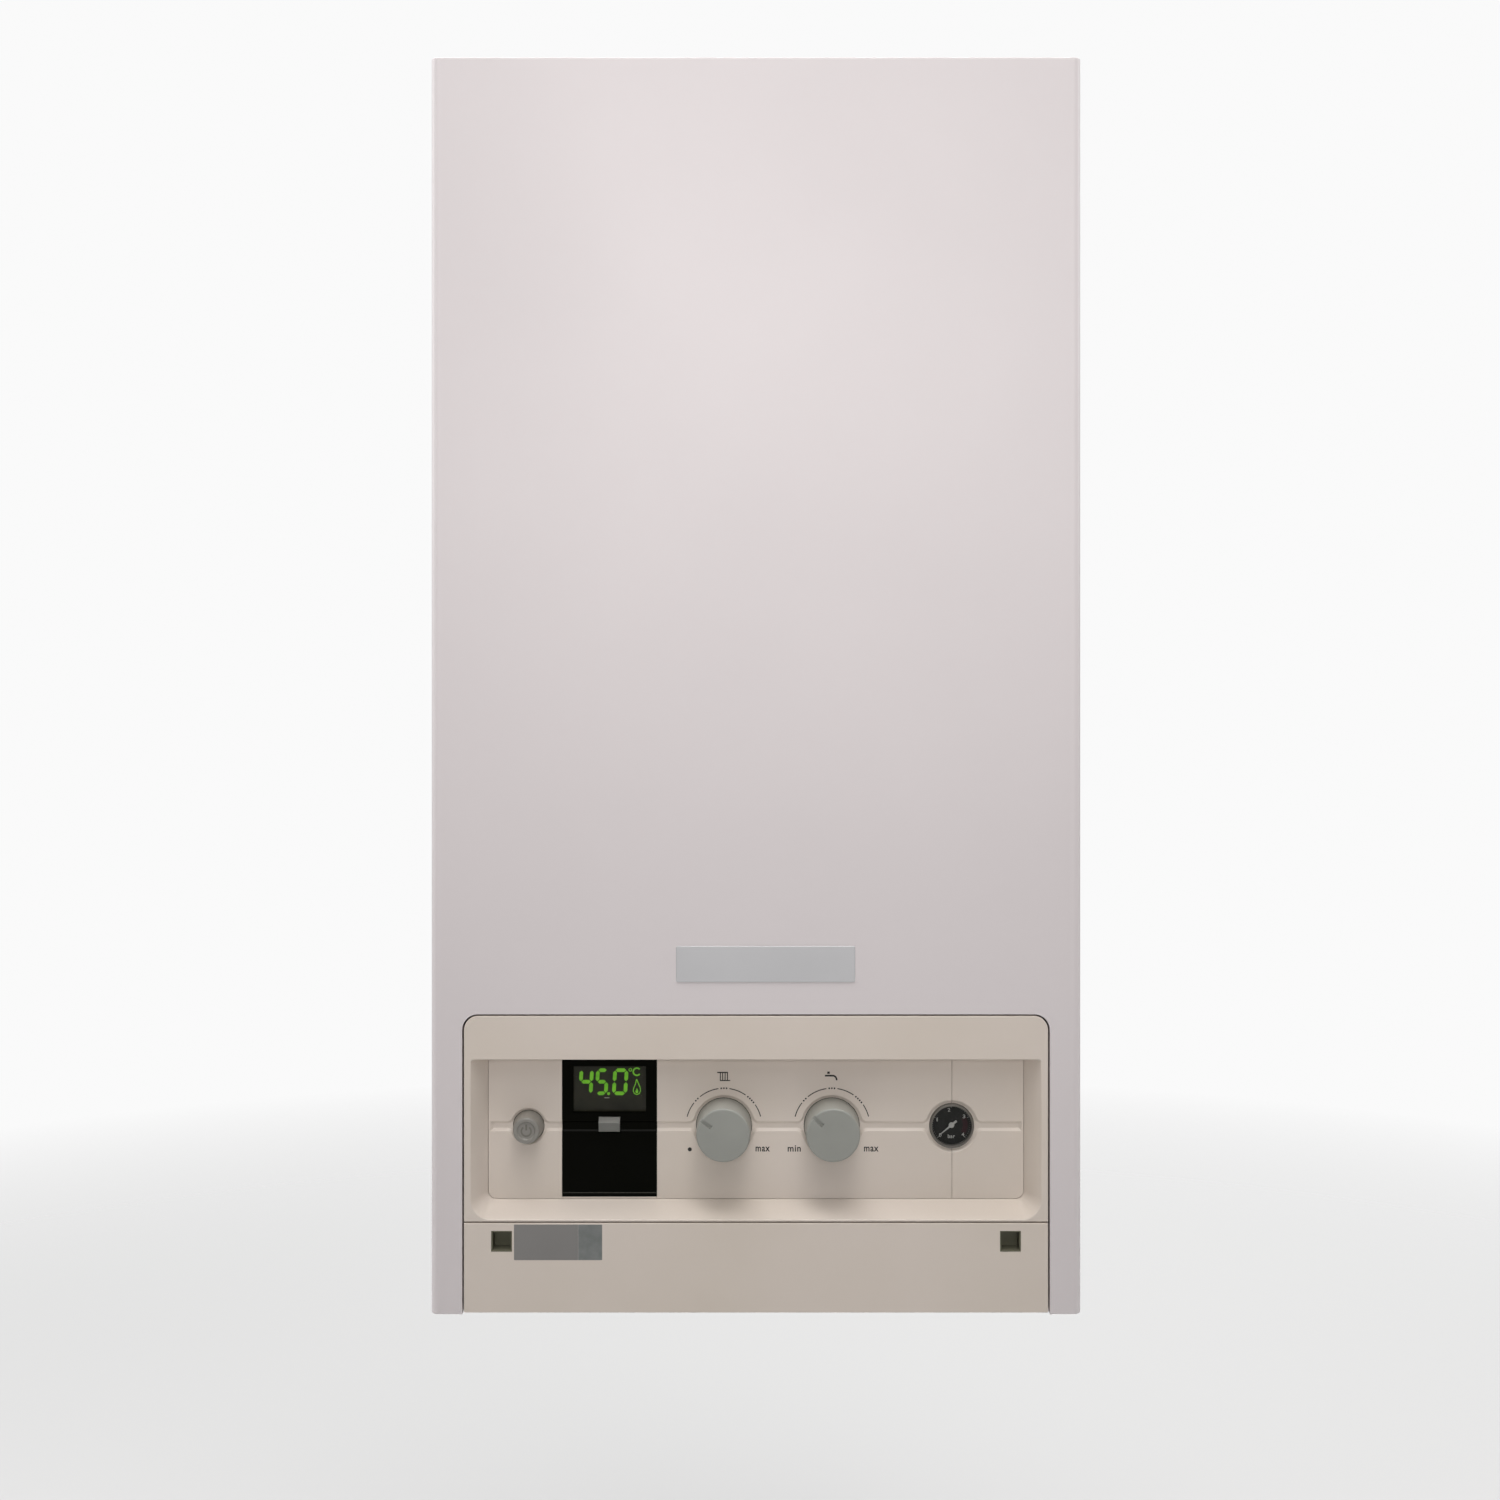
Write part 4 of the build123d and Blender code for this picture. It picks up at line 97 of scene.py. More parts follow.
def moulded_skin():
    """Enamel, plastic and cast skins: broad patches of shade, a fine grain, and settled dust."""
    tree, given, out, place = surface_group("moulded_skin", {
        "Base": (0.8, 0.8, 0.8, 1.0), "Shade": (0.7, 0.7, 0.7, 1.0), "Dust": (0.5, 0.48, 0.45, 1.0),
        "Patch": 6.0, "Grain": 900.0, "Gloss": 0.4, "Spread": 0.08, "Settled": 0.1,
    })
    patch = wire(tree, "ShaderNodeTexNoise", {}, Vector=place, Scale=given["Patch"], Detail=4.0)
    grain = wire(tree, "ShaderNodeTexNoise", {}, Vector=place, Scale=given["Grain"], Detail=2.0)
    shade = span(tree, patch.outputs[0], 0.35, 0.7)
    colour = blend_colour(tree, shade, given["Base"], given["Shade"])
    facing = tree.nodes.new("ShaderNodeNewGeometry").outputs["Normal"]
    lie = wire(tree, "ShaderNodeSeparateXYZ", {}, i0=facing)
    flat = span(tree, lie.outputs[2], 0.55, 1.0)
    lint = wire(tree, "ShaderNodeMath", {"operation": "MULTIPLY"}, i0=flat, i1=grain.outputs[0])
    share = wire(tree, "ShaderNodeMath", {"operation": "MULTIPLY"},
                 i0=lint.outputs[0], i1=given["Settled"])
    tree.links.new(blend_colour(tree, share.outputs[0], colour, given["Dust"]), out["Color"])
    uneven = span(tree, patch.outputs[0], 0.3, 0.7, -0.5, 0.5)
    swing = wire(tree, "ShaderNodeMath", {"operation": "MULTIPLY"}, i0=uneven, i1=given["Spread"])
    gloss = wire(tree, "ShaderNodeMath", {"operation": "ADD"},
                 i0=swing.outputs[0], i1=given["Gloss"])
    tree.links.new(gloss.outputs[0], out["Roughness"])
    tree.links.new(grain.outputs[0], out["Height"])
    return tree


def finish(name, skin, relief, metallic=0.0, coat=0.0, **values):
    """A finished material: one surface effect with its own values, and a relief in millimetres."""
    material = bpy.data.materials.new(name)
    material.use_nodes = True
    tree = material.node_tree
    shader = tree.nodes["Principled BSDF"]
    effect = tree.nodes.new("ShaderNodeGroup")
    effect.node_tree = skin
    for label, value in values.items():
        effect.inputs[label].default_value = value
    bump = wire(tree, "ShaderNodeBump", {}, Height=effect.outputs["Height"], Distance=relief * MM)
    tree.links.new(effect.outputs["Color"], shader.inputs["Base Color"])
    tree.links.new(effect.outputs["Roughness"], shader.inputs["Roughness"])
    tree.links.new(bump.outputs["Normal"], shader.inputs["Normal"])
    shader.inputs["Metallic"].default_value = metallic
    shader.inputs["Coat Weight"].default_value = coat
    return material


def dress(material, *nodes):
    """Gives pieces of the frame their finish."""
    for node in nodes:
        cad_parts[node].material_slots[0].material = material


moulded = moulded_skin()
enamel = finish(
    "white_enamel", moulded, 0.02, Base=paint(224, 217, 218), Shade=paint(220, 213, 214),
    Dust=paint(186, 180, 170), Patch=3.0, Grain=420.0, Gloss=0.5, Spread=0.06, Settled=0.35,
)
dress(enamel, "casing")


# ------------------------------------------------------------------ sheet-metal chassis
# Side frames, back plate, top and bottom plates and the wall bracket are pressed from zinc-coated
# sheet, so they show the faint crystals of the zinc and a little white bloom in the corners.


def zinc_skin():
    """Zinc-coated sheet: crystals that differ in tone and gloss, under fine scratches."""
    tree, given, out, place = surface_group("zinc_skin", {
        "Base": (0.58, 0.59, 0.61, 1.0), "Shade": (0.43, 0.44, 0.46, 1.0),
        "Crystal": 150.0, "Gloss": 0.42, "Spread": 0.2,
    })
    warp = wire(tree, "ShaderNodeTexNoise", {}, Vector=place, Scale=60.0, Detail=2.0)
    bent = wire(tree, "ShaderNodeVectorMath", {"operation": "SCALE"},
                i0=warp.outputs[1], Scale=0.006)
    moved = wire(tree, "ShaderNodeVectorMath", {"operation": "ADD"}, i0=place, i1=bent.outputs[0])
    crystal = wire(tree, "ShaderNodeTexVoronoi", {},
                   Vector=moved.outputs[0], Scale=given["Crystal"])
    tone = wire(tree, "ShaderNodeSeparateColor", {}, i0=crystal.outputs["Color"])
    bloom = wire(tree, "ShaderNodeTexNoise", {}, Vector=place, Scale=7.0, Detail=5.0)
    mixed = wire(tree, "ShaderNodeMath", {"operation": "MULTIPLY"},
                 i0=tone.outputs[0], i1=bloom.outputs[0])
    shade = span(tree, mixed.outputs[0], 0.1, 0.7)
    colour = blend_colour(tree, shade, given["Base"], given["Shade"])
    tree.links.new(colour, out["Color"])
    swing = wire(tree, "ShaderNodeMath", {"operation": "MULTIPLY_ADD"},
                 i0=tone.outputs[1], i1=given["Spread"], i2=given["Gloss"])
    tree.links.new(swing.outputs[0], out["Roughness"])
    scratch = wire(tree, "ShaderNodeTexNoise", {}, Vector=place, Scale=1400.0, Detail=2.0)
    tree.links.new(scratch.outputs[0], out["Height"])
    return tree


zinc_sheet = finish("zinc_coated_sheet", zinc_skin(), 0.01, metallic=0.6)
dress(zinc_sheet, "side_frames", "back_plate", "wall_bracket", "top_plate", "bottom_plate")


def drawn_skin():
    """Turned, drawn or brushed metal: fine lines that run one way, and dull stains."""
    tree, given, out, place = surface_group("drawn_skin", {
        "Base": (0.6, 0.6, 0.6, 1.0), "Shade": (0.45, 0.45, 0.45, 1.0),
        "Across": 1500.0, "Along": 40.0, "Gloss": 0.25, "Spread": 0.2, "Stain": 18.0,
    })
    split = wire(tree, "ShaderNodeSeparateXYZ", {}, i0=place)
    stretched = wire(tree, "ShaderNodeCombineXYZ", {})
    for axis, rate in enumerate(("Across", "Across", "Along")):
        run = wire(tree, "ShaderNodeMath", {"operation": "MULTIPLY"},
                   i0=split.outputs[axis], i1=given[rate])
        tree.links.new(run.outputs[0], stretched.inputs[axis])
    line = wire(tree, "ShaderNodeTexNoise", {}, Vector=stretched.outputs[0], Scale=1.0, Detail=2.0)
    stain = wire(tree, "ShaderNodeTexNoise", {}, Vector=place, Scale=given["Stain"], Detail=5.0)
    shade = span(tree, stain.outputs[0], 0.4, 0.65)
    colour = blend_colour(tree, shade, given["Base"], given["Shade"])
    tree.links.new(colour, out["Color"])
    swing = wire(tree, "ShaderNodeMath", {"operation": "MULTIPLY_ADD"},
                 i0=stain.outputs[0], i1=given["Spread"], i2=given["Gloss"])
    tree.links.new(swing.outputs[0], out["Roughness"])
    tree.links.new(line.outputs[0], out["Height"])
    return tree


drawn = drawn_skin()
turned_steel = finish(
    "turned_steel", drawn, 0.01, metallic=1.0,
    Base=paint(198, 198, 196), Shade=paint(170, 168, 162),
)
dress(turned_steel, "casing_studs", "hinge_pins")

# ------------------------------------------------------------------ flue and air
# White moulded collar on the top plate, held by six screws, and the white plastic riser that
# brings the flue gas up to it from the sump.
flue_white = finish(
    "white_flue_plastic", moulded, 0.03, Base=paint(232, 231, 226), Shade=paint(222, 220, 212),
    Patch=9.0, Grain=700.0, Gloss=0.45, Spread=0.1, Settled=0.5,
)
dress(flue_white, "flue_collar", "flue_riser")

# ------------------------------------------------------------------ sheet-metal screws
# Zinc-plated pan heads with a cross recess: they hold the back plate and the folds of the top and
# bottom plates in the side frames, and the flue collar on the top plate.


def pan_screws(name, node, seats, radius, body):
    """Pan heads, each seated where a line from a point, run in a direction, meets the node."""
    steps, slot_reach = 24, 0.32
    rings = (
        (1.0, -0.1, False), (1.0, 0.18, False), (0.9, 0.42, False), (0.62, 0.6, False),
        (0.56, 0.62, True), (0.42, 0.2, True),
    )
    build = bmesh.new()
    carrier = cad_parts[node]
    for start, toward in seats:
        line = Vector(toward)
        hit, seat = carrier.ray_cast(Vector(start) * MM, line)[:2]
        if not hit:
            raise ValueError(f"no seat for a screw of {name} at {start}")
        turned = line.to_track_quat("-Z", "Y").to_matrix()
        loops = []
        for reach, rise, recess in rings:
            loop = []
            for step in range(steps):
                share = reach * (1.0 if not recess or step % 6 in (0, 1) else slot_reach)
                turn = math.tau * (step - 0.5) / steps
                point = Vector((math.cos(turn) * share, math.sin(turn) * share, rise))
                point = point * radius * MM
                loop.append(build.verts.new(seat + turned @ point))
            loops.append(loop)
        for low, high in zip(loops, loops[1:]):
            for here in range(steps):
                after = (here + 1) % steps
                build.faces.new((low[here], low[after], high[after], high[here]))
        build.faces.new(loops[-1])
        build.faces.new(loops[0][::-1])
    bmesh.ops.recalc_face_normals(build, faces=build.faces)
    mesh = bpy.data.meshes.new(name)
    build.to_mesh(mesh)
    build.free()
    heads = bpy.data.objects.new(name, mesh)
    bpy.context.scene.collection.objects.link(heads)
    mesh.materials.append(turned_steel)
    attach(heads, body)


frame_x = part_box("side_frames")[1].x / MM
flange_mid = frame_x - 7.5
behind_wall, beside_casing, above_collar = 20.0, 240.0, 120.0
pan_screws(
    "back_screws", "side_frames",
    [((side * flange_mid, behind_wall, z), (0, -1, 0))
     for side in (-1, 1) for z in (36, -120, -290, -460, -630, -765)],
    3.4, "frame",
)
pan_screws(
    "side_screws", "side_frames",
    [((side * beside_casing, y, z), (-side, 0, 0))
     for side in (-1, 1) for y in (-300, -175, -50) for z in (50, -781)],
    2.9, "frame",
)
flue_y, screw_circle = -140.0, 60.0
pan_screws(
    "collar_screws", "flue_collar",
    [((screw_circle * math.cos(a), flue_y + screw_circle * math.sin(a), above_collar), (0, 0, -1))
     for a in [math.radians(30 + 60 * step) for step in range(6)]],
    2.8, "frame",
)

# ------------------------------------------------------------------ heat exchanger and burner
# Sand-cast aluminium body and cover with a coarse cast skin, browned a little by heat; the burner,
# its studs and nuts are bright steel, and the electrodes sit in white ceramic.
cast_metal = finish(
    "cast_aluminium", moulded, 0.18, metallic=0.9,
    Base=paint(190, 190, 188), Shade=paint(158, 156, 150),
    Patch=14.0, Grain=260.0, Gloss=0.5, Spread=0.15, Settled=0.3,
)
dress(cast_metal, "heat_exchanger", "burner_cover", "fan_housing", "venturi", "gas_valve")
bright_steel = finish(
    "stainless_steel", drawn, 0.008, metallic=1.0,
    Base=paint(205, 203, 196), Shade=paint(188, 180, 164),
    Gloss=0.2, Spread=0.16,
)
dress(bright_steel, "burner", "plate_exchanger", "diverter_stem")
dress(turned_steel, "cover_nuts")
ceramic = finish(
    "glazed_ceramic", moulded, 0.01, coat=0.6,
    Base=paint(233, 229, 216), Shade=paint(224, 216, 198),
    Patch=40.0, Grain=1200.0, Gloss=0.22, Spread=0.08, Settled=0.2,
)
dress(ceramic, "electrodes")
black_plastic = finish(
    "black_plastic", moulded, 0.05, Base=paint(38, 38, 37), Shade=paint(46, 45, 43),
    Dust=paint(120, 114, 104), Patch=12.0, Grain=1500.0, Gloss=0.52, Spread=0.1, Settled=0.35,
)
dress(black_plastic, "sump", "ignition_unit", "intake_silencer")

# ------------------------------------------------------------------ fan and gas train
# The fan's wheel is pressed aluminium and its motor is black; the gas pipe is steel with a yellow
# chromate skin.
wheel_metal = finish(
    "pressed_aluminium", drawn, 0.01, metallic=1.0,
    Base=paint(212, 212, 212), Shade=paint(190, 190, 190),
)
dress(wheel_metal, "fan_impeller")
motor_black = finish(
    "motor_paint", moulded, 0.03, coat=0.15, Base=paint(52, 53, 56), Shade=paint(62, 62, 64),
    Patch=20.0, Grain=800.0, Gloss=0.4, Spread=0.12, Settled=0.5,
)
dress(motor_black, "fan_motor")
chromate = finish(
    "yellow_chromate", drawn, 0.01, metallic=0.9,
    Base=paint(206, 184, 110), Shade=paint(186, 168, 120),
    Gloss=0.3, Stain=30.0,
)
dress(chromate, "gas_pipe")

# ------------------------------------------------------------------ water side
# Grey-painted expansion vessel, drawn copper pipes, manifolds and pump housing of dark glass-filled
# plastic, brass tails with their lock nuts, and a translucent siphon.
vessel_grey = finish(
    "vessel_paint", moulded, 0.03, coat=0.2, Base=paint(168, 170, 172), Shade=paint(158, 160, 162),
    Patch=5.0, Grain=500.0, Gloss=0.35, Spread=0.1, Settled=0.5,
)
dress(vessel_grey, "expansion_vessel")
copper = finish(
    "drawn_copper", drawn, 0.008, metallic=1.0,
    Base=paint(214, 138, 104), Shade=paint(160, 98, 72),
    Gloss=0.24, Spread=0.25, Stain=24.0,
)
dress(copper, "vessel_pipe", "flow_pipe", "return_pipe")
manifold_black = finish(
    "glass_filled_plastic", moulded, 0.06, Base=paint(58, 58, 60), Shade=paint(74, 73, 73),
    Patch=45.0, Grain=1100.0, Gloss=0.5, Spread=0.12, Settled=0.5,
)
dress(manifold_black, "flow_group", "return_group", "pump_housing", "pump_impeller")
sensor_plastic = finish(
    "sensor_plastic", moulded, 0.03, Base=paint(92, 96, 104), Shade=paint(84, 88, 96),
    Patch=30.0, Grain=1200.0, Gloss=0.42, Settled=0.4,
)
dress(sensor_plastic, "flow_sensor")
dress(flue_white, "flow_turbine")
cap_plastic = finish(
    "motor_cap_plastic", moulded, 0.03, Base=paint(214, 213, 208), Shade=paint(204, 202, 194),
    Patch=16.0, Grain=1100.0, Gloss=0.4, Spread=0.1, Settled=0.6,
)
dress(cap_plastic, "diverter_motor")
pump_paint = finish(
    "pump_motor_paint", moulded, 0.04, coat=0.2, Base=paint(64, 68, 72), Shade=paint(54, 57, 60),
    Patch=18.0, Grain=650.0, Gloss=0.36, Spread=0.12, Settled=0.5,
)
dress(pump_paint, "pump_motor")
brass = finish(
    "turned_brass", drawn, 0.012, metallic=1.0,
    Base=paint(208, 178, 118), Shade=paint(168, 138, 84),
    Gloss=0.24, Spread=0.22, Along=1500.0, Across=40.0, Stain=40.0,
)
dress(brass, "pipe_tails", "lock_nuts", "relief_valve")
red_cap = finish(
    "red_cap_plastic", moulded, 0.02, coat=0.3, Base=paint(188, 34, 26), Shade=paint(172, 28, 22),
    Patch=30.0, Grain=900.0, Gloss=0.3, Spread=0.1, Settled=0.4,
)
dress(red_cap, "relief_knob")
siphon_plastic = finish(
    "siphon_plastic", moulded, 0.03, Base=paint(206, 206, 200), Shade=paint(190, 188, 178),
    Patch=12.0, Grain=600.0, Gloss=0.42, Spread=0.1, Settled=0.5,
)
dress(siphon_plastic, "siphon")

# ------------------------------------------------------------------ surround and strip
# Warm grey moulded surround with a finely eroded grain, the strip under it from the same plastic,
# and the dark box behind them that carries the electronics.
surround_plastic = finish(
    "surround_plastic", moulded, 0.035, Base=paint(223, 212, 202), Shade=paint(218, 207, 195),
    Dust=paint(176, 166, 152), Patch=8.0, Grain=1700.0, Gloss=0.34, Spread=0.08, Settled=0.25,
)
dress(surround_plastic, "fascia", "lower_strip")
box_plastic = finish(
    "control_box_plastic", moulded, 0.05, Base=paint(74, 74, 64), Shade=paint(64, 63, 56),
    Dust=paint(120, 114, 104), Patch=12.0, Grain=1400.0, Gloss=0.5, Spread=0.1, Settled=0.35,
)
dress(box_plastic, "control_box")

# The two square sockets that take a cover flap's pegs are lined with a dark olive plastic.
liner_plastic = finish(
    "liner_plastic", moulded, 0.04, Base=paint(108, 107, 88), Shade=paint(98, 97, 80),
    Dust=paint(120, 114, 104), Patch=20.0, Grain=1400.0, Gloss=0.5, Settled=0.3,
)


def socket_liner(name, centre_x, low_z, high_z, mouth_y, depth, half, wall, body):
    """A square cup, open to the front, that lines a socket."""
    build = bmesh.new()
    middle, reach = (low_z + high_z) / 2, (high_z - low_z) / 2
    square = ((-1, -1), (1, -1), (1, 1), (-1, 1))
    loops = []
    for y, grow in (
        (mouth_y, 0.0), (mouth_y + depth, 0.0), (mouth_y + depth - wall, -wall), (mouth_y, -wall),
    ):
        loop = []
        for sx, sz in square:
            x, z = centre_x + sx * (half + grow), middle + sz * (reach + grow)
            loop.append(build.verts.new((x * MM, y * MM, z * MM)))
        loops.append(loop)
    for first, second in ((0, 1), (2, 3), (3, 0)):
        for here in range(4):
            after = (here + 1) % 4
            build.faces.new((
                loops[first][here], loops[first][after], loops[second][after], loops[second][here],
            ))
    build.faces.new(loops[1])
    build.faces.new(loops[2])
    bmesh.ops.recalc_face_normals(build, faces=build.faces)
    mesh = bpy.data.meshes.new(name)
    build.to_mesh(mesh)
    build.free()
    liner = bpy.data.objects.new(name, mesh)
    bpy.context.scene.collection.objects.link(liner)
    mesh.materials.append(liner_plastic)
    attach(liner, body)


socket_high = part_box("lower_strip")[1].z / MM - 5.2
liner_height, liner_gap, liner_set_back = 14.0, 0.1, 0.4
for side, socket_x in (("left", -172.0), ("right", 172.0)):
    socket_liner(
        f"socket_liner_{side}", socket_x,
        low_z=socket_high - liner_gap - liner_height, high_z=socket_high - liner_gap,
        mouth_y=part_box("lower_strip")[0].y / MM + liner_set_back,
        depth=11.4, half=7.0, wall=0.8, body="control_unit",
    )

# ------------------------------------------------------------------ inlay and its print
# The inlay and the blanking cover beside it have the same grain in a slightly deeper tone. Scales,
# symbols and the words at the ends of the scales are pad-printed on them in dark ink.
inlay_plastic = finish(
    "inlay_plastic", moulded, 0.035, Base=paint(223, 212, 202), Shade=paint(218, 207, 195),
    Dust=paint(176, 166, 152), Patch=9.0, Grain=1700.0, Gloss=0.36, Spread=0.08, Settled=0.2,
)
dress(inlay_plastic, "inlay_plate", "blanking_cover")
ink = finish(
    "dark_ink", moulded, 0.004, Base=paint(24, 21, 19), Shade=paint(34, 30, 27),
    Patch=160.0, Grain=2400.0, Gloss=0.42, Settled=0.1,
)
inlay_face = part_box("inlay_plate")[0].y
control_line = (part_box("heating_knob")[0].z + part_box("heating_knob")[1].z) / 2 / MM
top_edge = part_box("casing")[1].z / MM
heating_x, water_x = -22.0, 52.0
print_film, print_swell = 0.03, 0.02


def printed(name, shapes, face, material, body, film=print_film):
    """Flat shapes in millimetres, each a thin closed film on a front-facing plane."""
    mesh = bpy.data.meshes.new(name)
    build = bmesh.new()
    for outline in shapes:
        rear = [build.verts.new((x * MM, face, z * MM)) for x, z in outline]
        near = [build.verts.new((x * MM, face - film * MM, z * MM)) for x, z in outline]
        build.faces.new(rear)
        build.faces.new(list(reversed(near)))
        for here in range(len(outline)):
            after = (here + 1) % len(outline)
            build.faces.new((rear[after], rear[here], near[here], near[after]))
    bmesh.ops.recalc_face_normals(build, faces=build.faces)
    build.to_mesh(mesh)
    build.free()
    piece = bpy.data.objects.new(name, mesh)
    bpy.context.scene.collection.objects.link(piece)
    piece.data.materials.append(material)
    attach(piece, body)
    return piece


def stroke(points, width):
    """The outline of a printed line along a run of points."""
    path = [Vector(point) for point in points]
    left, right = [], []
    for here, point in enumerate(path):
        before = path[max(here - 1, 0)]
        after = path[min(here + 1, len(path) - 1)]
        along = (after - before).normalized()
        side = Vector((-along.y, along.x)) * width / 2
        left.append(tuple(point + side))
        right.append(tuple(point - side))
    return left + right[::-1]


def arc(x, z, radius, start, end, steps=24):
    """Points of an arc; angles are clockwise from the top, in degrees."""
    turn = [math.radians(start + (end - start) * step / steps) for step in range(steps + 1)]
    return [(x + radius * math.sin(a), z + radius * math.cos(a)) for a in turn]


def dot(x, z, radius, steps=20):
    """A small round mark."""
    return arc(x, z, radius, 0, 360 * (steps - 1) / steps, steps - 1)


scale_radius, scale_line, scale_dot = 26.0, 0.66, 0.6
for knob_name, knob_x in (("heating", heating_x), ("water", water_x)):
    marks = []
    for start, end in ((-75.5, -52.1), (-39.1, -8.3), (8.3, 34.8), (55.6, 75.3)):
        marks.append(stroke(arc(knob_x, control_line, scale_radius, start, end), scale_line))
    for angle in (-47.8, -43.4, -4.0, 0.0, 4.0, 39.2, 43.2, 47.2, 51.2):
        turn = math.radians(angle)
        mark_x = knob_x + scale_radius * math.sin(turn)
        mark_z = control_line + scale_radius * math.cos(turn)
        marks.append(dot(mark_x, mark_z, scale_dot))
    printed(f"{knob_name}_scale", marks, inlay_face, ink, "control_unit")

frost_dot = dot(-45.4, top_edge - 743.1, 1.4)
printed("frost_mark", [frost_dot], inlay_face, ink, "control_unit")

radiator_low, radiator_high = top_edge - 695.9, top_edge - 690.4
first_column, column_pitch, column_line = -24.45, 1.63, 0.66
radiator = [
    stroke(((-26.6, radiator_high), (-19.2, radiator_high)), 0.8),
    stroke(((-24.8, radiator_low), (-17.7, radiator_low)), 0.7),
]
for column in range(4):
    column_x = first_column + column_pitch * column
    radiator.append(stroke(((column_x, radiator_low), (column_x, radiator_high)), column_line))
printed("radiator_symbol", radiator, inlay_face, ink, "control_unit")

tap_z = top_edge - 692.6
bend_x, bend_radius, handle_x = 52.6, 2.6, 49.7
spout = [(47.2, tap_z), (bend_x, tap_z)]
spout += arc(bend_x, tap_z - bend_radius, bend_radius, 0, 72, 8) + [(55.4, tap_z - 3.2)]
tap = [
    stroke(spout, 1.15),
    stroke(((handle_x, tap_z + 1.25), (handle_x, tap_z + 2.85)), 1.7),
]
printed("tap_symbol", tap, inlay_face, ink, "control_unit")


def lettering(name, words, centre, size, face, material, body, lift=print_film):
    """A printed word of a given width and height, centred on a point of a front-facing plane."""
    letters = bpy.data.curves.new(name, "FONT")
    letters.body = words
    letters.space_character = 1.12
    letters.offset = print_swell
    letters.extrude = 0.02
    source = bpy.data.objects.new(name, letters)
    bpy.context.scene.collection.objects.link(source)
    bpy.context.view_layer.update()
    mesh = bpy.data.meshes.new_from_object(source)
    bpy.data.objects.remove(source)
    across = [vertex.co.x for vertex in mesh.vertices]
    upward = [vertex.co.y for vertex in mesh.vertices]
    wide = size[0] * MM / (max(across) - min(across))
    tall = size[1] * MM / (max(upward) - min(upward))
    middle = ((max(across) + min(across)) / 2, (max(upward) + min(upward)) / 2)
    for vertex in mesh.vertices:
        x, y, z = vertex.co
        vertex.co = (
            centre[0] * MM + (x - middle[0]) * wide,
            face - (lift * MM if z > 0 else 0.0),
            centre[1] * MM + (y - middle[1]) * tall,
        )
    piece = bpy.data.objects.new(name, mesh)
    bpy.context.scene.collection.objects.link(piece)
    mesh.materials.clear()
    mesh.materials.append(material)
    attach(piece, body)


word_line = top_edge - 742.9
letter_height = 3.4
for word_name, word, word_x, word_size in (
    ("heating_max", "max", 4.6, (9.8, 3.4)), ("water_min", "min", 26.2, (9.0, 4.3)),
    ("water_max", "max", 79.0, (10.0, 3.4)),
):
    word_z = word_line + (word_size[1] - letter_height) / 2
    lettering(word_name, word, (word_x, word_z), word_size, inlay_face, ink,
              "control_unit")

# ------------------------------------------------------------------ display window and tab
# One polished black moulding over the display. Only the screen's aperture is clear, smoked plastic;
# the rest is black from behind. The small grey tab in its middle unlocks it.
window_black = finish(
    "window_gloss", moulded, 0.003, Base=paint(7, 8, 4), Shade=paint(10, 10, 7),
    Dust=paint(90, 88, 80), Patch=18.0, Grain=1500.0, Gloss=0.09, Spread=0.05, Settled=0.25,
)
tree = window_black.node_tree
window_shader = tree.nodes["Principled BSDF"]
window_shader.inputs["Specular IOR Level"].default_value = 0.06
screen_left, screen_right = -125.4, -75.4
screen_top = top_edge - 686.2
screen_low = screen_top - 31.7
smoked = 0.12
own_place = tree.nodes.new("ShaderNodeTexCoord").outputs["Object"]
where = wire(tree, "ShaderNodeSeparateXYZ", {}, i0=own_place)
clear = None
for axis, limit, test in (
    (0, screen_left, "GREATER_THAN"), (0, screen_right, "LESS_THAN"),
    (2, screen_low, "GREATER_THAN"), (2, screen_top, "LESS_THAN"),
):
    inside = wire(tree, "ShaderNodeMath", {"operation": test},
                  i0=where.outputs[axis], i1=limit * MM)
    if clear is None:
        clear = inside
    else:
        clear = wire(tree, "ShaderNodeMath", {"operation": "MULTIPLY"},
                     i0=clear.outputs[0], i1=inside.outputs[0])
tree.links.new(span(tree, clear.outputs[0], 0.0, 1.0, 1.0, smoked), window_shader.inputs["Alpha"])
dress(window_black, "display_window")

# A raised lip along the window's lower edge. Its grey-olive colour, much lighter than the black
# moulding, is a painted highlight line where that edge catches the light.
painted_glint_lip = finish(
    "window_glint_lip", moulded, 0.004, coat=0.4, Base=paint(70, 68, 58), Shade=paint(58, 56, 48),
    Patch=30.0, Grain=1200.0, Gloss=0.2, Settled=0.4,
)
lip_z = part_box("display_window")[0].z / MM + 2.6
printed(
    "window_glint_lip", [stroke(((-132.6, lip_z), (-68.2, lip_z)), 0.35)], inlay_face, painted_glint_lip,
    "control_unit", film=0.2,
)
tab_grey = finish(
    "tab_plastic", moulded, 0.02, Base=paint(116, 117, 112), Shade=paint(110, 111, 106),
    Patch=60.0, Grain=1300.0, Gloss=0.34, Spread=0.06, Settled=0.3,
)
dress(tab_grey, "release_tab")

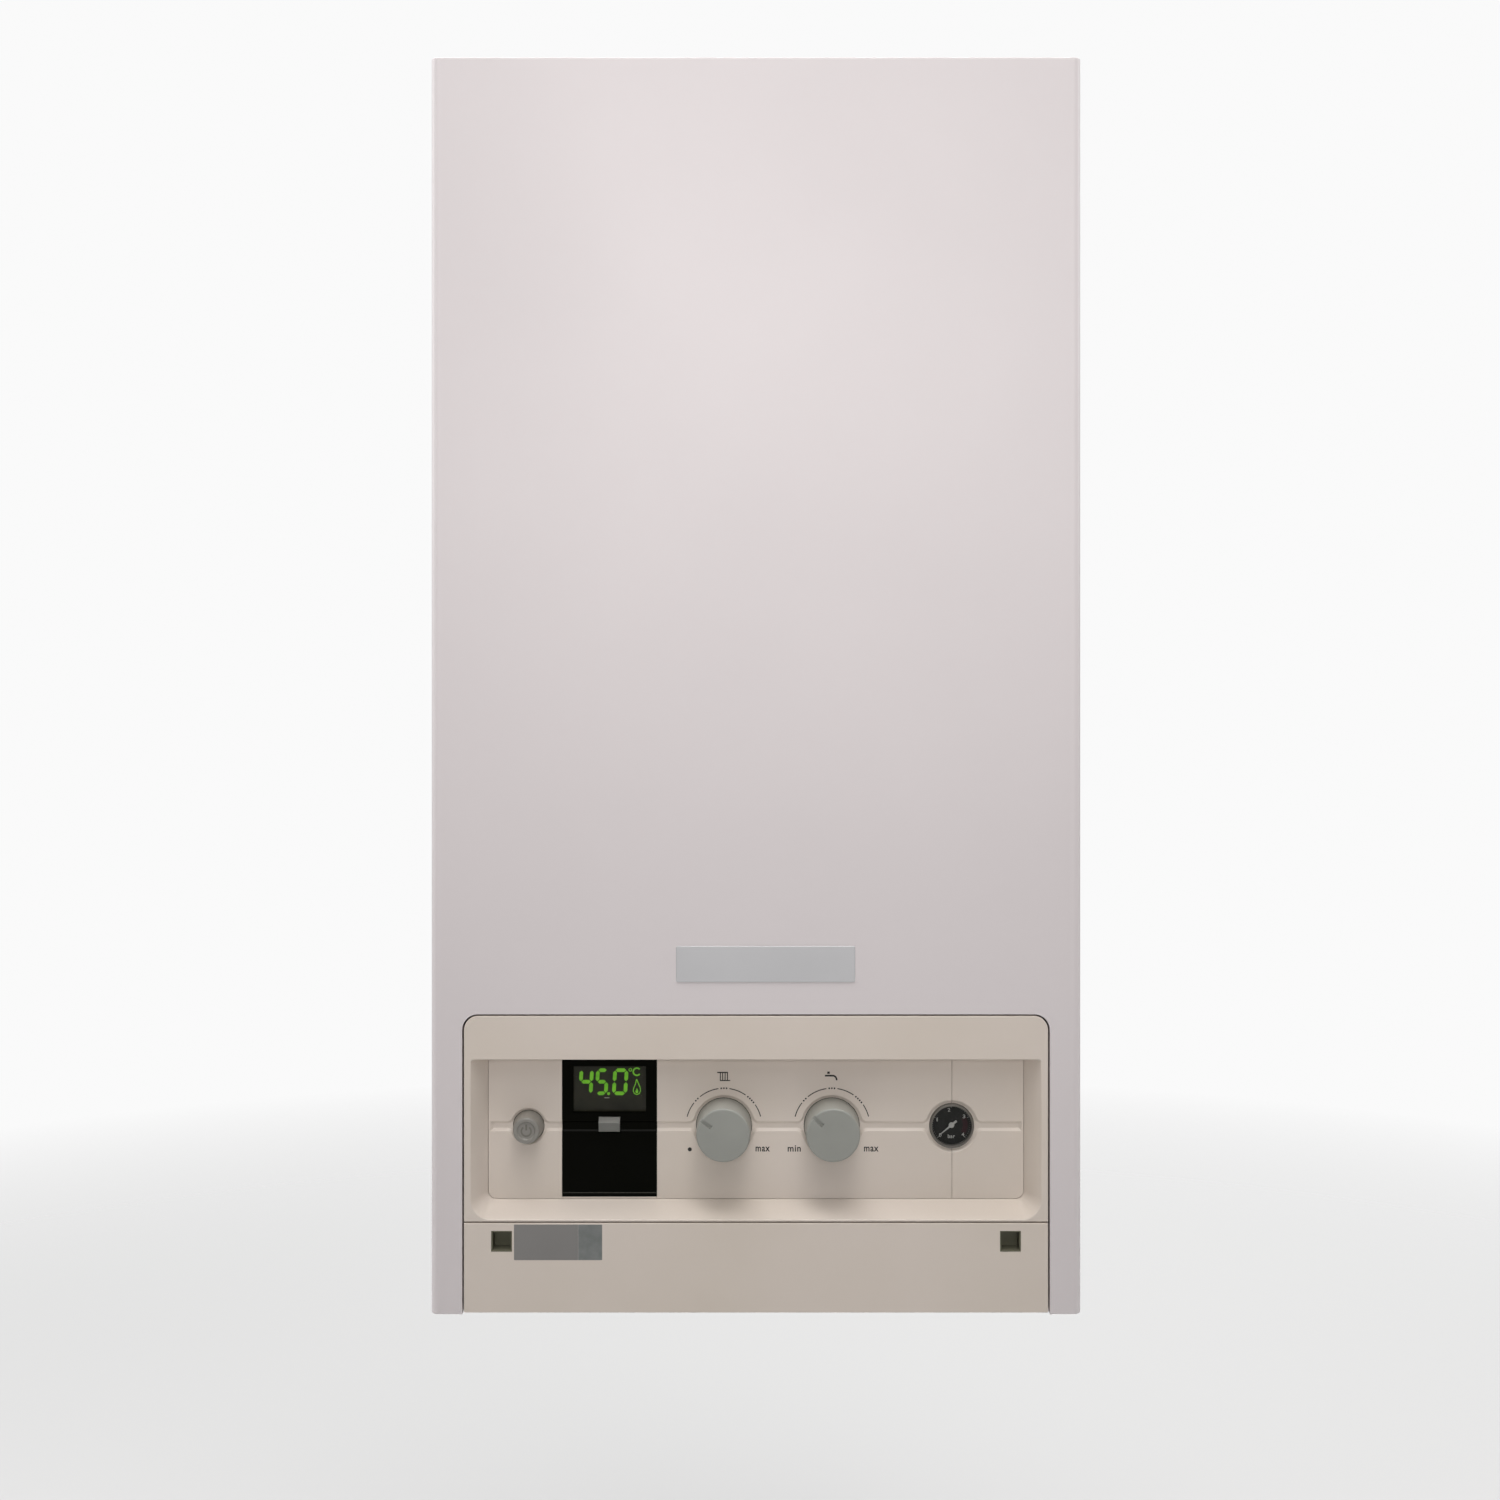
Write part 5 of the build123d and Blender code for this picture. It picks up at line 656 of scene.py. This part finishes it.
# ------------------------------------------------------------------ display and its figures
# Backlit liquid-crystal cell: a dark screen on which the temperature, its unit and a flame glow
# green. The figures are seven-segment digits that lean a little to the right.
cell = finish(
    "screen_cell", moulded, 0.002, coat=0.3, Base=paint(62, 61, 48), Shade=paint(46, 46, 36),
    Patch=55.0, Grain=900.0, Gloss=0.25, Spread=0.05, Settled=0.0,
)
dress(cell, "display_module")
glow = finish(
    "segment_glow", moulded, 0.002, Base=paint(98, 160, 38), Shade=paint(78, 140, 30),
    Patch=220.0, Grain=1500.0, Gloss=0.3, Settled=0.0,
)
glow_shader = glow.node_tree.nodes["Principled BSDF"]
glow.node_tree.links.new(
    glow.node_tree.nodes["Group"].outputs["Color"], glow_shader.inputs["Emission Color"]
)
glow_shader.inputs["Emission Strength"].default_value = 1.0
cell_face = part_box("display_module")[0].y
figure_top, figure_low = screen_top - 2.2, screen_top - 20.6
lean = 0.06


def leaned(x, z):
    """Leans a point of the figures to the right with its height above their foot."""
    return (x + lean * (z - figure_low), z)


def digit(left, width, lit):
    """A seven-segment digit; segments a to g run clockwise from the top, with g in the middle."""
    bar, gap = 2.5, 0.35
    right, middle = left + width, (figure_top + figure_low) / 2
    half = bar / 2
    low, high = figure_low + half, figure_top - half
    west, east = left + half, right - half
    ends = {
        "a": ((west, high), (east, high)), "g": ((west, middle), (east, middle)),
        "d": ((west, low), (east, low)), "f": ((west, middle), (west, high)),
        "b": ((east, middle), (east, high)), "e": ((west, low), (west, middle)),
        "c": ((east, low), (east, middle)),
    }
    shapes = []
    for segment in lit:
        (x0, z0), (x1, z1) = ends[segment]
        if segment in "adg":
            x0, x1 = x0 + gap, x1 - gap
            outline = ((x0, z0), (x0 + half, z0 + half), (x1 - half, z0 + half),
                       (x1, z0), (x1 - half, z0 - half), (x0 + half, z0 - half))
        else:
            z0, z1 = z0 + gap, z1 - gap
            outline = ((x0, z0), (x0 - half, z0 + half), (x0 - half, z1 - half),
                       (x0, z1), (x0 + half, z1 - half), (x0 + half, z0 + half))
        shapes.append([leaned(x, z) for x, z in outline])
    return shapes


figures = []
for digit_left, digit_width, lit in (
    (-122.2, 9.7, "fgbc"), (-110.9, 8.8, "afgcd"), (-99.1, 10.4, "abcdef"),
):
    figures += digit(digit_left, digit_width, lit)
figures.append([leaned(x, z) for x, z in dot(-101.4, figure_low + 1.1, 1.05)])
unit_z = screen_top - 4.3
figures.append(stroke(arc(-86.4, screen_top - 3.2, 0.95, 0, 340, 16), 0.5))
figures.append(stroke(arc(-81.9, unit_z - 0.2, 2.5, 50, -230, 24), 1.0))
flame_x, flame_low = -81.9, screen_top - 20.2
outer_flame = [(-0.2, 10.6), (1.2, 7.4), (2.3, 4.6), (2.5, 2.6), (1.7, 0.7), (0.0, 0.0),
               (-1.7, 0.7), (-2.5, 2.6), (-2.1, 4.6), (-1.0, 7.2), (-0.2, 10.6)]
figures.append(stroke([(flame_x + x, flame_low + z) for x, z in outer_flame], 0.6))
inner_flame = [(0.1, 4.4), (1.0, 2.6), (0.8, 1.2), (-0.4, 0.9), (-1.0, 1.9), (-0.6, 3.2)]
figures.append([(flame_x + x, flame_low + z) for x, z in inner_flame])
printed("screen_figures", figures, cell_face, glow, "control_unit", film=0.02)
dash = [stroke(((-104.2, screen_top - 22.4), (-100.8, screen_top - 22.4)), 0.55)]
pale_mark = finish(
    "screen_mark", moulded, 0.002, Base=paint(168, 168, 152), Shade=paint(150, 150, 136),
    Patch=90.0, Grain=900.0, Gloss=0.3, Settled=0.0,
)
printed("screen_dash", dash, cell_face, pale_mark, "control_unit", film=0.02)

# ------------------------------------------------------------------ knobs and power button
# Satin grey caps with a fine spark-eroded grain. The button's dish carries the usual symbol for
# standby, and the scales on the inlay show where the knobs' notches point.
knob_grey = finish(
    "knob_plastic", moulded, 0.03, Base=paint(156, 157, 151), Shade=paint(149, 150, 144),
    Dust=paint(176, 166, 152), Patch=26.0, Grain=1500.0, Gloss=0.42, Spread=0.06, Settled=0.2,
)
dress(knob_grey, "heating_knob", "water_knob")
button_grey = finish(
    "button_plastic", moulded, 0.03, Base=paint(142, 139, 133), Shade=paint(136, 133, 127),
    Dust=paint(176, 166, 152), Patch=30.0, Grain=1500.0, Gloss=0.4, Spread=0.06, Settled=0.2,
)
dress(button_grey, "power_button")
button_x = -156.0
dish_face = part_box("power_button")[0].y + 1.0 * MM
standby_ink = finish(
    "standby_ink", moulded, 0.004, Base=paint(118, 114, 107), Shade=paint(110, 106, 99),
    Patch=160.0, Grain=2400.0, Gloss=0.5, Settled=0.1,
)
standby = [
    stroke(arc(button_x, control_line - 0.4, 3.3, 38, 322, 30), 1.1),
    stroke(((button_x, control_line + 0.2), (button_x, control_line + 4.2)), 1.2),
]
printed("standby_symbol", standby, dish_face, standby_ink, "power_button")

# ------------------------------------------------------------------ pressure gauge
# A small moulded case with a black dial under a clear lens. The dial is printed with its figures,
# its unit and a dark red arc over the upper range; the needle is white.
gauge_rim = finish(
    "gauge_rim", moulded, 0.02, Base=paint(112, 108, 101), Shade=paint(98, 94, 88),
    Patch=50.0, Grain=1300.0, Gloss=0.3, Spread=0.08, Settled=0.3,
)
dress(gauge_rim, "gauge_case")
dial_black = finish(
    "dial_black", moulded, 0.006, Base=paint(27, 28, 23), Shade=paint(23, 24, 20),
    Patch=90.0, Grain=1800.0, Gloss=0.4, Settled=0.0,
)
dress(dial_black, "gauge_dial")
lens = finish(
    "gauge_lens", moulded, 0.002, Base=paint(30, 31, 30), Shade=paint(26, 27, 26),
    Patch=40.0, Grain=900.0, Gloss=0.06, Spread=0.03, Settled=0.1,
)
lens.node_tree.nodes["Principled BSDF"].inputs["Alpha"].default_value = 0.15
dress(lens, "gauge_glass")
dial_white = finish(
    "dial_white", moulded, 0.004, Base=paint(226, 226, 220), Shade=paint(214, 214, 208),
    Patch=150.0, Grain=1500.0, Gloss=0.4, Settled=0.0,
)
dress(dial_white, "gauge_needle")
dial_red = finish(
    "dial_red", moulded, 0.004, Base=paint(64, 25, 33), Shade=paint(56, 22, 29),
    Patch=150.0, Grain=1500.0, Gloss=0.4, Settled=0.0,
)
gauge_x = (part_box("gauge_dial")[0].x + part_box("gauge_dial")[1].x) / 2 / MM
dial_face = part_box("gauge_dial")[0].y
tick_radius, band_radius, figure_radius = 13.1, 9.6, 10.4
zero_angle, scale_sweep, tick_count = -133.0, 265.0, 40
ticks = []
for step in range(tick_count + 1):
    angle = zero_angle + scale_sweep * step / tick_count
    whole_bar = step % 10 == 0
    reach = 1.3 if whole_bar else 0.6
    a = math.radians(angle)
    ends = [(gauge_x + r * math.sin(a), control_line + r * math.cos(a))
            for r in (tick_radius - reach, tick_radius)]
    ticks.append(stroke(ends, 0.3 if whole_bar else 0.14))
printed("dial_ticks", ticks, dial_face, dial_white, "control_unit", film=0.02)
band = stroke(arc(gauge_x, control_line, band_radius, 62, 124, 24), 3.4)
printed("dial_red_range", [band], dial_face, dial_red, "control_unit", film=0.015)
for value, angle in enumerate((-133.0, -70.0, -9.0, 57.0, 130.0)):
    a = math.radians(angle)
    middle = (gauge_x + figure_radius * math.sin(a), control_line + figure_radius * math.cos(a))
    size = (0.9 if value == 1 else 1.8, 2.6)
    lettering(f"dial_figure_{value}", str(value), middle, size, dial_face, dial_white,
              "control_unit", lift=0.035)
lettering("dial_unit", "bar", (gauge_x, control_line - 7.9), (4.9, 2.7), dial_face, dial_white,
          "control_unit", lift=0.035)

# ------------------------------------------------------------------ badge and foil label
# A bare satin plate is bonded to the casing over the controls, and a bare foil label on the strip,
# its right end of a duller, slightly crumpled foil.


def plate(name, low, high, corner, thick, face, material, body):
    """A thin plate with round corners and a bevelled front edge, on a front-facing plane."""
    (x0, z0), (x1, z1) = low, high
    outline = []
    for cx, cz, start in (
        (x1 - corner, z1 - corner, 90), (x1 - corner, z0 + corner, 180),
        (x0 + corner, z0 + corner, 270), (x0 + corner, z1 - corner, 360),
    ):
        outline += arc(cx, cz, corner, start - 90, start, 6)
    piece = printed(name, [outline], face, material, body, film=thick)
    bevel = piece.modifiers.new("edge", "BEVEL")
    bevel.width = thick * 0.4 * MM
    bevel.segments = 2
    bevel.limit_method = "ANGLE"
    return piece


badge_metal = finish(
    "badge_plate", drawn, 0.004, metallic=0.55,
    Base=paint(205, 205, 207), Shade=paint(198, 198, 200),
    Across=40.0, Along=1400.0, Gloss=0.42, Spread=0.1, Stain=6.0,
)
front_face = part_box("casing")[0].y
plate("badge", (-54.0, top_edge - 625.2), (67.0, top_edge - 600.9), 1.2, 0.8,
      front_face, badge_metal, "casing")
foil = finish(
    "label_foil", drawn, 0.01, metallic=0.3, Base=paint(140, 138, 136), Shade=paint(132, 130, 128),
    Across=40.0, Along=900.0, Gloss=0.4, Spread=0.12, Stain=10.0,
)
dull_foil = finish(
    "label_foil_dull", moulded, 0.12, metallic=0.4,
    Base=paint(140, 143, 142), Shade=paint(122, 126, 124),
    Patch=120.0, Grain=420.0, Gloss=0.34, Spread=0.12, Settled=0.1,
)
strip_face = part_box("lower_strip")[0].y
label_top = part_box("lower_strip")[1].z / MM - 0.9
label_low = label_top - 24.0
plate("foil_label", (-163.6, label_low), (-120.3, label_top), 0.3, 0.1,
      strip_face, foil, "control_unit")
plate("foil_label_end", (-120.2, label_low), (-104.0, label_top), 0.3, 0.1,
      strip_face, dull_foil, "control_unit")

# ------------------------------------------------------------------ electronics
# Green lacquered board with its switch, control shafts, transformer and relays, seen only when the
# control unit is opened.
board = finish(
    "board_lacquer", moulded, 0.02, coat=0.3, Base=paint(40, 104, 62), Shade=paint(34, 90, 54),
    Patch=70.0, Grain=700.0, Gloss=0.3, Settled=0.2,
)
dress(board, "circuit_board")
parts_black = finish(
    "board_part_plastic", moulded, 0.02, Base=paint(92, 92, 90), Shade=paint(80, 80, 78),
    Patch=60.0, Grain=1100.0, Gloss=0.4, Settled=0.2,
)
dress(parts_black, "board_parts")

# ------------------------------------------------------------------ studio
# Pale floor well below the wall-hung boiler and a white surround. A soft spot lights the casing's
# upper half, two large lights hang over it, and one each serves the left, the right and the back.
floor_mesh = bpy.data.meshes.new("floor")
floor_radius, floor_y, floor_z, floor_steps = 4.0, -0.5, -1.5, 96
ring = []
for step in range(floor_steps):
    a = math.tau * step / floor_steps
    ring.append((floor_radius * math.cos(a), floor_radius * math.sin(a) + floor_y, floor_z))
floor_mesh.from_pydata(ring, [], [list(range(floor_steps))])
floor = bpy.data.objects.new("floor", floor_mesh)
bpy.context.scene.collection.objects.link(floor)
floor_finish = bpy.data.materials.new("pale_floor")
floor_finish.use_nodes = True
floor_tree = floor_finish.node_tree
floor_shader = floor_tree.nodes["Principled BSDF"]
floor_shader.inputs["Base Color"].default_value = (0.72, 0.72, 0.72, 1.0)
floor_shader.inputs["Roughness"].default_value = 0.8
spot = floor_tree.nodes.new("ShaderNodeTexCoord").outputs["Object"]
apart = wire(floor_tree, "ShaderNodeVectorMath", {"operation": "DISTANCE"},
             i0=spot, i1=(0.0, floor_y, floor_z))
fade = span(floor_tree, apart.outputs["Value"], 1.2, 3.6, 1.0, 0.0)
floor_tree.links.new(fade, floor_shader.inputs["Alpha"])
floor.data.materials.append(floor_finish)

world = bpy.data.worlds.new("white_studio")
world.use_nodes = True
bpy.context.scene.world = world
sky = world.node_tree
backdrop = sky.nodes["Background"]
backdrop.inputs["Color"].default_value = (0.955, 0.955, 0.955, 1.0)
path_kind = sky.nodes.new("ShaderNodeLightPath").outputs
mirrored = span(sky, path_kind["Is Glossy Ray"], 0.0, 1.0, 0.08, 0.26)
fill = wire(sky, "ShaderNodeBackground", {}, Strength=mirrored)
fill.inputs["Color"].default_value = (1.0, 0.985, 0.965, 1.0)
either = wire(sky, "ShaderNodeMixShader", {}, i0=path_kind["Is Camera Ray"])
sky.links.new(fill.outputs[0], either.inputs[1])
sky.links.new(backdrop.outputs[0], either.inputs[2])
sky.links.new(either.outputs[0], sky.nodes["World Output"].inputs["Surface"])


def soft_light(name, place, target, size, power, tint, kind="AREA"):
    """A large soft light, or a spot with a soft edge, that faces a point."""
    lamp = bpy.data.lights.new(name, kind)
    if kind == "AREA":
        lamp.size = size
    else:
        lamp.shadow_soft_size = size
    lamp.energy = power
    lamp.color = tint
    holder = bpy.data.objects.new(name, lamp)
    holder.location = place
    holder.rotation_euler = (Vector(target) - Vector(place)).to_track_quat("-Z", "Y").to_euler()
    bpy.context.scene.collection.objects.link(holder)
    return lamp


front_lamp = soft_light(
    "front_light", (-0.02, -3.0, 0.4), (0.0, -0.352, -0.17), 0.6, 172.0, (1.0, 0.985, 0.98), "SPOT",
)
front_lamp.spot_size = math.radians(30.0)
front_lamp.spot_blend = 1.0
soft_light("high_light", (0.0, -1.75, 1.6), (0.0, -0.35, -0.35), 2.2, 26.0, (1.0, 0.985, 0.975))
top_lamp = soft_light(
    "top_light", (-0.4, -0.72, 2.2), (0.0, -0.36, -0.7), 3.0, 52.0, (1.0, 0.99, 0.98),
)
top_lamp.shape = "RECTANGLE"
top_lamp.size_y = 0.8
soft_light("left_light", (-2.6, 0.0, 0.5), (-0.22, -0.18, -0.36), 1.4, 36.0, (0.99, 0.995, 1.0))
soft_light("right_light", (2.6, 0.1, 0.8), (0.22, -0.18, -0.36), 1.4, 30.0, (1.0, 1.0, 1.0))
soft_light("rear_light", (0.7, 2.4, 1.1), (0.0, -0.02, -0.36), 1.4, 46.0, (1.0, 1.0, 1.0))

camera_data = bpy.data.cameras.new("front_camera")
camera_data.lens = 40.3
camera_data.sensor_width = 36.0
camera_data.shift_x = -0.004
camera_data.shift_y = -0.066
camera = bpy.data.objects.new("front_camera", camera_data)
camera.location = (0.0, -1.487, -0.3415)
camera.rotation_euler = (math.radians(90), 0.0, 0.0)
bpy.context.scene.collection.objects.link(camera)
bpy.context.scene.camera = camera
bpy.context.scene.view_settings.view_transform = "Standard"
